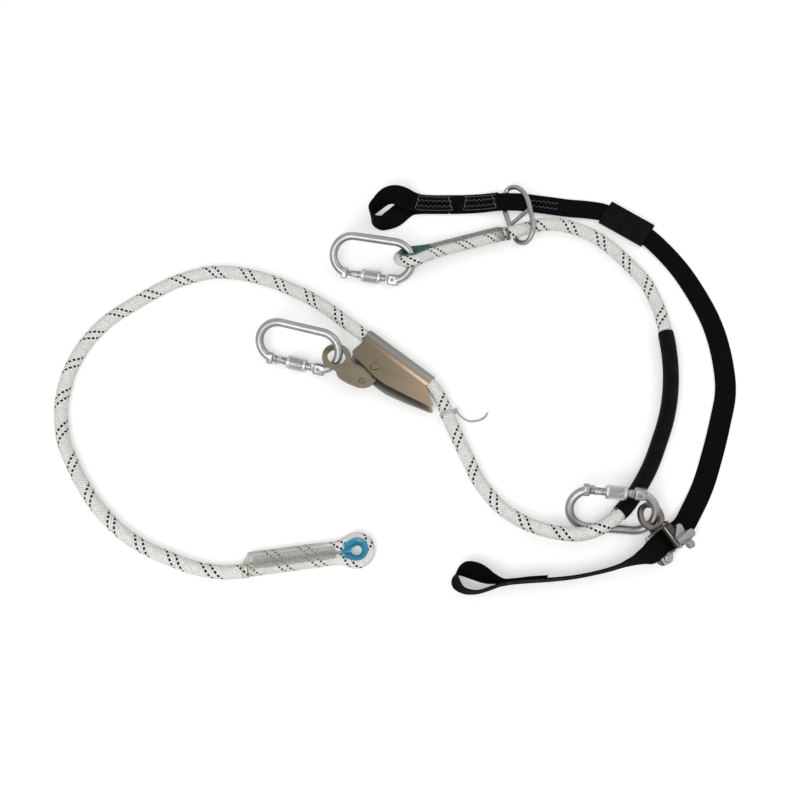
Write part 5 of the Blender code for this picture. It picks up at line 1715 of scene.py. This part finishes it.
    def build(self) -> None:
        """Builds and dresses the buckle."""
        left, right = self.sides
        low, ends = self.low, 1.2 * MM
        pin = pin_mesh((left - ends, self.pin_y, self.pin_z), (1.0, 0.0, 0.0), right - left + 2 * ends,
                       self.pin_radius, 0.4 * MM, 0.5 * MM, 32)
        rivet = Adjuster().rivet(self.rivet_spot, self.rivet_radius, low - FIT - self.tongue,
                                 low + self.plate_thick)
        show_all("buckle", self.place, [
            ("pale_base", self.base(), BUCKLE_STEEL, "harness", ("buckle_base",)),
            ("olive_eye", self.eye_plate(), BRASSY_STEEL, "harness", ("buckle_eye_plate",)),
            ("dome_rivet", rivet, PALE_STEEL, "harness", ("buckle_rivet",)),
            ("cross_pin", pin, PALE_STEEL, "harness", ("buckle_cam_pin",)),
            ("lobed_lever", self.lever(), LEVER_ZINC, "buckle_lever", ("buckle_cam_lever",)),
        ])


# Webbing


@dataclass
class Webbing:
    """One run of flat webbing along a route of places, lifts and leans."""

    name: str
    node: str
    route: Route
    width: float = 25 * MM
    thick: float = 1.8 * MM
    step: float = 2.4 * MM

    def stations(self) -> list[Station]:
        """The sections along the webbing, with the lean of the width from the ground."""
        line = []
        for x, y, lift, lean in self.route:
            angle = math.radians(lean)
            rise = self.width / 2 * abs(math.sin(angle)) + self.thick / 2 * abs(math.cos(angle))
            line.append([x * MM + CENTRE_SHIFT.x, y * MM + CENTRE_SHIFT.y, lift * MM + rise, lean])
        points = smooth(line, int(run_length(line) / self.step))
        made = []
        for (place, across, up), (*_, lean) in zip(level_travel(points), points):
            cosine, sine = math.cos(math.radians(lean)), math.sin(math.radians(lean))
            made.append((place, across * cosine + up * sine, up * cosine - across * sine))
        return made

    def length(self) -> float:
        """The webbing's length."""
        return run_length([tuple(place) for place, _, _ in self.stations()])

    def outline(self) -> list[Point]:
        """The section: flat, with a slightly thicker rounded edge."""
        half, thick = self.width / 2, self.thick / 2
        xs = [-1.0, -0.94, -0.86, -0.5, 0.0, 0.5, 0.86, 0.94, 1.0]
        rise = [0.45, 0.95, 1.0, 0.9, 0.9, 0.9, 1.0, 0.95, 0.45]
        bottom = [(half * x, -thick * r) for x, r in zip(xs, rise)]
        top = [(half * x, thick * r) for x, r in zip(reversed(xs), reversed(rise))]
        return bottom + top

    def build(self) -> Object:
        outline = self.outline()
        shares = [(x / self.width) + 0.5 for x, _ in outline]
        mesh = loose(loft(self.stations(), outline, across=lambda k: shares[k]))
        piece = Piece(self.name, mesh, BLACK_WEB, "harness", (self.node,), smooth_angle=60.0).show()
        length = self.length()
        LOG.info("%s is %.0f mm of webbing", self.name, length / MM)
        return piece


@dataclass
class Stitching:
    """Rows of stitches over a stretch of webbing."""

    name: str
    web: Webbing
    start: float
    end: float
    face: int
    rows: tuple[float, ...] = (-1.0, -0.42, 0.42, 1.0)
    ends: bool = True
    thread: Thread = STITCH_THREAD
    size: tuple[float, float, float] = (2.3 * MM, 0.75 * MM, 0.6 * MM)
    spacing: float = 2.9 * MM
    stagger: float = 0.07
    end_spacing: float = 2.2 * MM
    end_slant: float = 5 * MM
    spread: float = 0.38
    seat: float = 0.47

    def spots(self) -> list[Matrix]:
        """The stitches' places: rows along the webbing, a little staggered, and a slanted row at each end."""
        stations = self.web.stations()
        lengths = running([place for place, _, _ in stations])

        def on_web(along: float, across: float) -> tuple[Vector, Vector, Vector, Vector]:
            """A place on the chosen face, with the directions along, across and out."""
            index = min(max(sum(1 for v in lengths if v < along), 1), len(lengths) - 1)
            share = (along - lengths[index - 1]) / max(lengths[index] - lengths[index - 1], 1e-9)
            (p, w, n), (q, _, _) = stations[index - 1], stations[index]
            out = n * self.face
            place = p.lerp(q, share) + w * across + out * (self.web.thick * self.seat)
            return place, (q - p).normalized(), w, out

        made = []
        edge = self.web.width * self.spread
        for row in self.rows:
            for i in range(int((self.end - self.start) / self.spacing)):
                shift = 0.0 if abs(row) == 1.0 else self.stagger * (1 if i % 2 else -1)
                spot = self.start + (i + 0.5) * self.spacing
                place, along, wide, out = on_web(spot, edge * (row + shift))
                made.append(facing(place, along + wide * 3 * shift, out))
        cross = int(2 * edge / self.end_spacing) if self.ends else 0
        for at, slant in ((self.start, self.end_slant), (self.end, -self.end_slant)):
            for share in ((i + 0.5) / cross for i in range(cross)):
                place, along, wide, out = on_web(at + slant * share, -edge + 2 * edge * share)
                made.append(facing(place, wide * 2 * edge + along * slant, out))
        return made

    def build(self) -> None:
        """Builds and dresses the stitches."""
        mesh = StudTree.run(self.spots(), Stud.STITCH, self.size, self.thread.material())
        Piece(self.name, mesh, self.thread, "harness").show()


@dataclass
class Keeper:
    """The flat black tube that slides on the strap, with a rounded lobe and a flatter flap along its top."""

    length: float = 62 * MM
    width: float = 33 * MM
    height: float = 9 * MM
    wall: float = 1.6 * MM
    corner: float = 2.6 * MM

    def outer(self) -> list[Point]:
        """The outside of its section."""
        wide, corner = self.width / 2, self.corner
        points: list[Point] = []
        side, low, high = wide - corner, corner, self.height - corner
        for x, y, end in ((side, high, 90), (-side, high, 180), (-side, low, 270), (side, low, 360)):
            points += arc((x, y), corner, end - 90, end, 8)
            if end == 90:
                points += [(side * (1 - k / 12), self.height) for k in range(1, 24)]
        return points

    def build(self) -> None:
        """Builds and dresses the keeper."""
        wide, middle = self.width / 2, self.height / 2
        outer = self.outer()
        inner = [(x * (wide - self.wall) / wide, middle + (y - middle) * (middle - self.wall) / middle)
                 for x, y in outer]
        steps = 40
        rng = random.Random(3)
        sag = [rng.uniform(-0.12, 0.12) * MM for _ in range(steps + 1)]
        walk = [*range(steps + 1), *reversed(range(steps + 1))]

        def ring(number: int) -> list[Point]:
            """The ring of that number along the outside and back along the inside."""
            if number > steps:
                return inner
            return [(a, b + (sag[number] + self.crest(a) if b > 0.9 * self.height else 0)) for a, b in outer]

        stations = along_x(self.length * (i / steps - 0.5) for i in walk)
        mesh = Solid(mesh_object(loft(stations, ring, True))).done(0.5 * MM, 3)
        place = placed((165.6, 210.9, 0.05), (55.0, -36.0, 0.0), UP)
        Piece("keeper_tube", mesh, BLACK_TUBE, "keeper_set", ("keeper",), place).show()

    @staticmethod
    def crest(across: float) -> float:
        """The rise of the keeper's top: a rounded lobe on one side and a low flap on the other."""
        lobe = 1.0 * MM * math.exp(-((across + 7.5 * MM) / (4.2 * MM)) ** 2)
        flap = 0.45 * MM / (1.0 + math.exp(-(across - 2.5 * MM) / (0.5 * MM)))
        groove = 0.5 * MM * math.exp(-((across - 0.5 * MM) / (1.5 * MM)) ** 2)
        return lobe + flap - groove


@dataclass
class ConnectingRing:
    """The bent wire ring round strap and rope, with a slanted bar."""

    wire: float = 3.1 * MM
    bar: float = 2.5 * MM

    def build(self) -> None:
        """Builds and dresses the ring."""
        route = [(24, 258.3, 14), (32, 250, 21.8), (38, 236, 26.4), (41.5, 219, 27.2), (44, 203, 27.4),
                 (43.3, 188.2, 22.2), (36.3, 181.2, 12.6), (28, 185, 5.8), (22, 198, 3.4), (17, 213, 3.3),
                 (12.5, 230, 3.3), (11.5, 245, 3.3), (13, 253.6, 3.8), (17.5, 259.3, 8)]
        ring = tube(smooth(metres(route), 150, True), self.wire, 24, True)
        ends = [tuple(Vector(p) * MM + CENTRE_SHIFT) for p in ((42, 222, 26), (18, 209.5, 2.8))]
        mesh = Solid(ring).join(rod(self.bar, *ends, 28)).done(0.5 * MM, 3)
        Piece("wire_ring", mesh, WIRE_STEEL, "ring_set", ("connecting_ring",)).show()


# Studio


@dataclass
class Studio:
    """The floor, the lamps and the camera."""

    elevation: float = 71.0
    distance: float = 1.319
    field_of_view: float = 40.0
    floor_glow: float = 0.34
    sky_light: float = 0.55
    target: Vector = field(default_factory=lambda: Vector((-121 * MM, -23 * MM, 0.0)) + CENTRE_SHIFT)

    def floor(self) -> None:
        """A plain pale floor that keeps the shadows."""
        bm = bmesh.new()
        bmesh.ops.create_grid(bm, x_segments=1, y_segments=1, size=6.0)
        obj = mesh_object(bm, "floor")
        material = bpy.data.materials.new("studio_floor")
        material.use_nodes = True
        nodes = material.node_tree.nodes
        tree = Tree(material.node_tree)
        shader = tree.fill(nodes["Principled BSDF"], Base_Color=(0.80, 0.80, 0.80), Roughness=0.9,
                           Specular_IOR_Level=0.0)
        both = tree.node("ShaderNodeAddShader")
        glow = tree.put("ShaderNodeEmission", Strength=tree.math("MULTIPLY", tree.seen(), self.floor_glow))
        for socket, light in zip(both.inputs, (shader.outputs[0], glow)):
            tree.feed(socket, light)
        tree.feed(nodes["Material Output"].inputs["Surface"], both.outputs[0])
        obj.data.materials.append(material)

    def lamps(self) -> None:
        """A soft key from the near side, a weaker fill and an even sky."""
        for name, place, size, power in (("key", (-0.7, -1.3, 1.7), 1.2, 22.0),
                                         ("fill", (1.5, 0.6, 1.4), 1.6, 9.0)):
            light = bpy.data.lights.new(name, "AREA")
            light.size = size
            light.energy = power
            obj = linked(name, light)
            obj.location = place
            obj.rotation_euler = (self.target - Vector(place)).to_track_quat("-Z", "Y").to_euler()
        world = bpy.data.worlds.new("sky")
        bpy.context.scene.world = world
        world.use_nodes = True
        tree = Tree(world.node_tree)
        tree.fill(world.node_tree.nodes["Background"], Color=(1.0, 1.0, 1.0),
                  Strength=tree.between(tree.seen(), self.sky_light, 1.0))

    def camera(self) -> None:
        """The camera at the photograph's angle."""
        data = bpy.data.cameras.new("camera")
        data.sensor_width = 36.0
        data.sensor_fit = "HORIZONTAL"
        data.angle = math.radians(self.field_of_view)
        camera = linked("camera", data)
        angle = math.radians(self.elevation)
        camera.location = self.target + Vector((0.0, -math.cos(angle), math.sin(angle))) * self.distance
        camera.rotation_euler = Euler((math.radians(90.0) - angle, 0.0, 0.0))
        bpy.context.scene.camera = camera

    def build(self) -> None:
        """Sets the studio up."""
        bpy.context.scene.view_settings.view_transform = "Standard"
        self.floor()
        self.lamps()
        self.camera()


def main() -> None:
    """Builds the scene."""
    logging.basicConfig(level=logging.INFO, format="%(message)s")
    Studio().build()
    Rope().build()
    lower = placed((-170, -207, 8.9), (0.9914, 0.1308, 0.0062), UP)
    upper = placed((-106.9, 156.9, 22.1), (-0.951, -0.308, 0.0795), (0.218, -0.673, -0.707))
    SewnEye("lower", lower, 124 * MM, 5.5 * MM, BLUE_LINER, CLEAR_FILM, True).build()
    SewnEye("upper", upper, 117 * MM, 7.3 * MM, GREEN_LINER, OLIVE_FILM).build()
    Carabiner("upper", (-101.61, 147.77, 18.1), -9.3, 27.8).build()
    Carabiner("middle", (-189.80, 25.04, 21.4), -14.0, 37.8).build()
    Carabiner("lower", (175.21, -167.62, 20.4), -4.8, 39.7 + 180).build()
    Adjuster().build()
    Buckle().build()
    loop_one = Webbing("upper_loop_webbing", "strap_loop_upper", LOOP_ONE)
    strap = Webbing("strap_webbing", "strap", MAIN)
    loop_two = Webbing("lower_loop_webbing", "strap_loop_lower", LOOP_TWO)
    for web in (loop_one, strap, loop_two):
        web.build()
    Stitching("upper_lap_stitches", loop_one, 3 * MM, 45 * MM, -1).build()
    Stitching("upper_bar_stitches", loop_one, 59 * MM, 107 * MM, -1).build()
    Stitching("strap_stitches", strap, 104 * MM, 140 * MM, 1, (-0.42, 0.42), False).build()
    end = strap.length()
    Stitching("lower_lap_stitches", strap, end - 70 * MM, end - 8 * MM, 1, thread=DARK_THREAD).build()
    Keeper().build()
    ConnectingRing().build()
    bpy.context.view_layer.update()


if __name__ == "__main__":
    main()
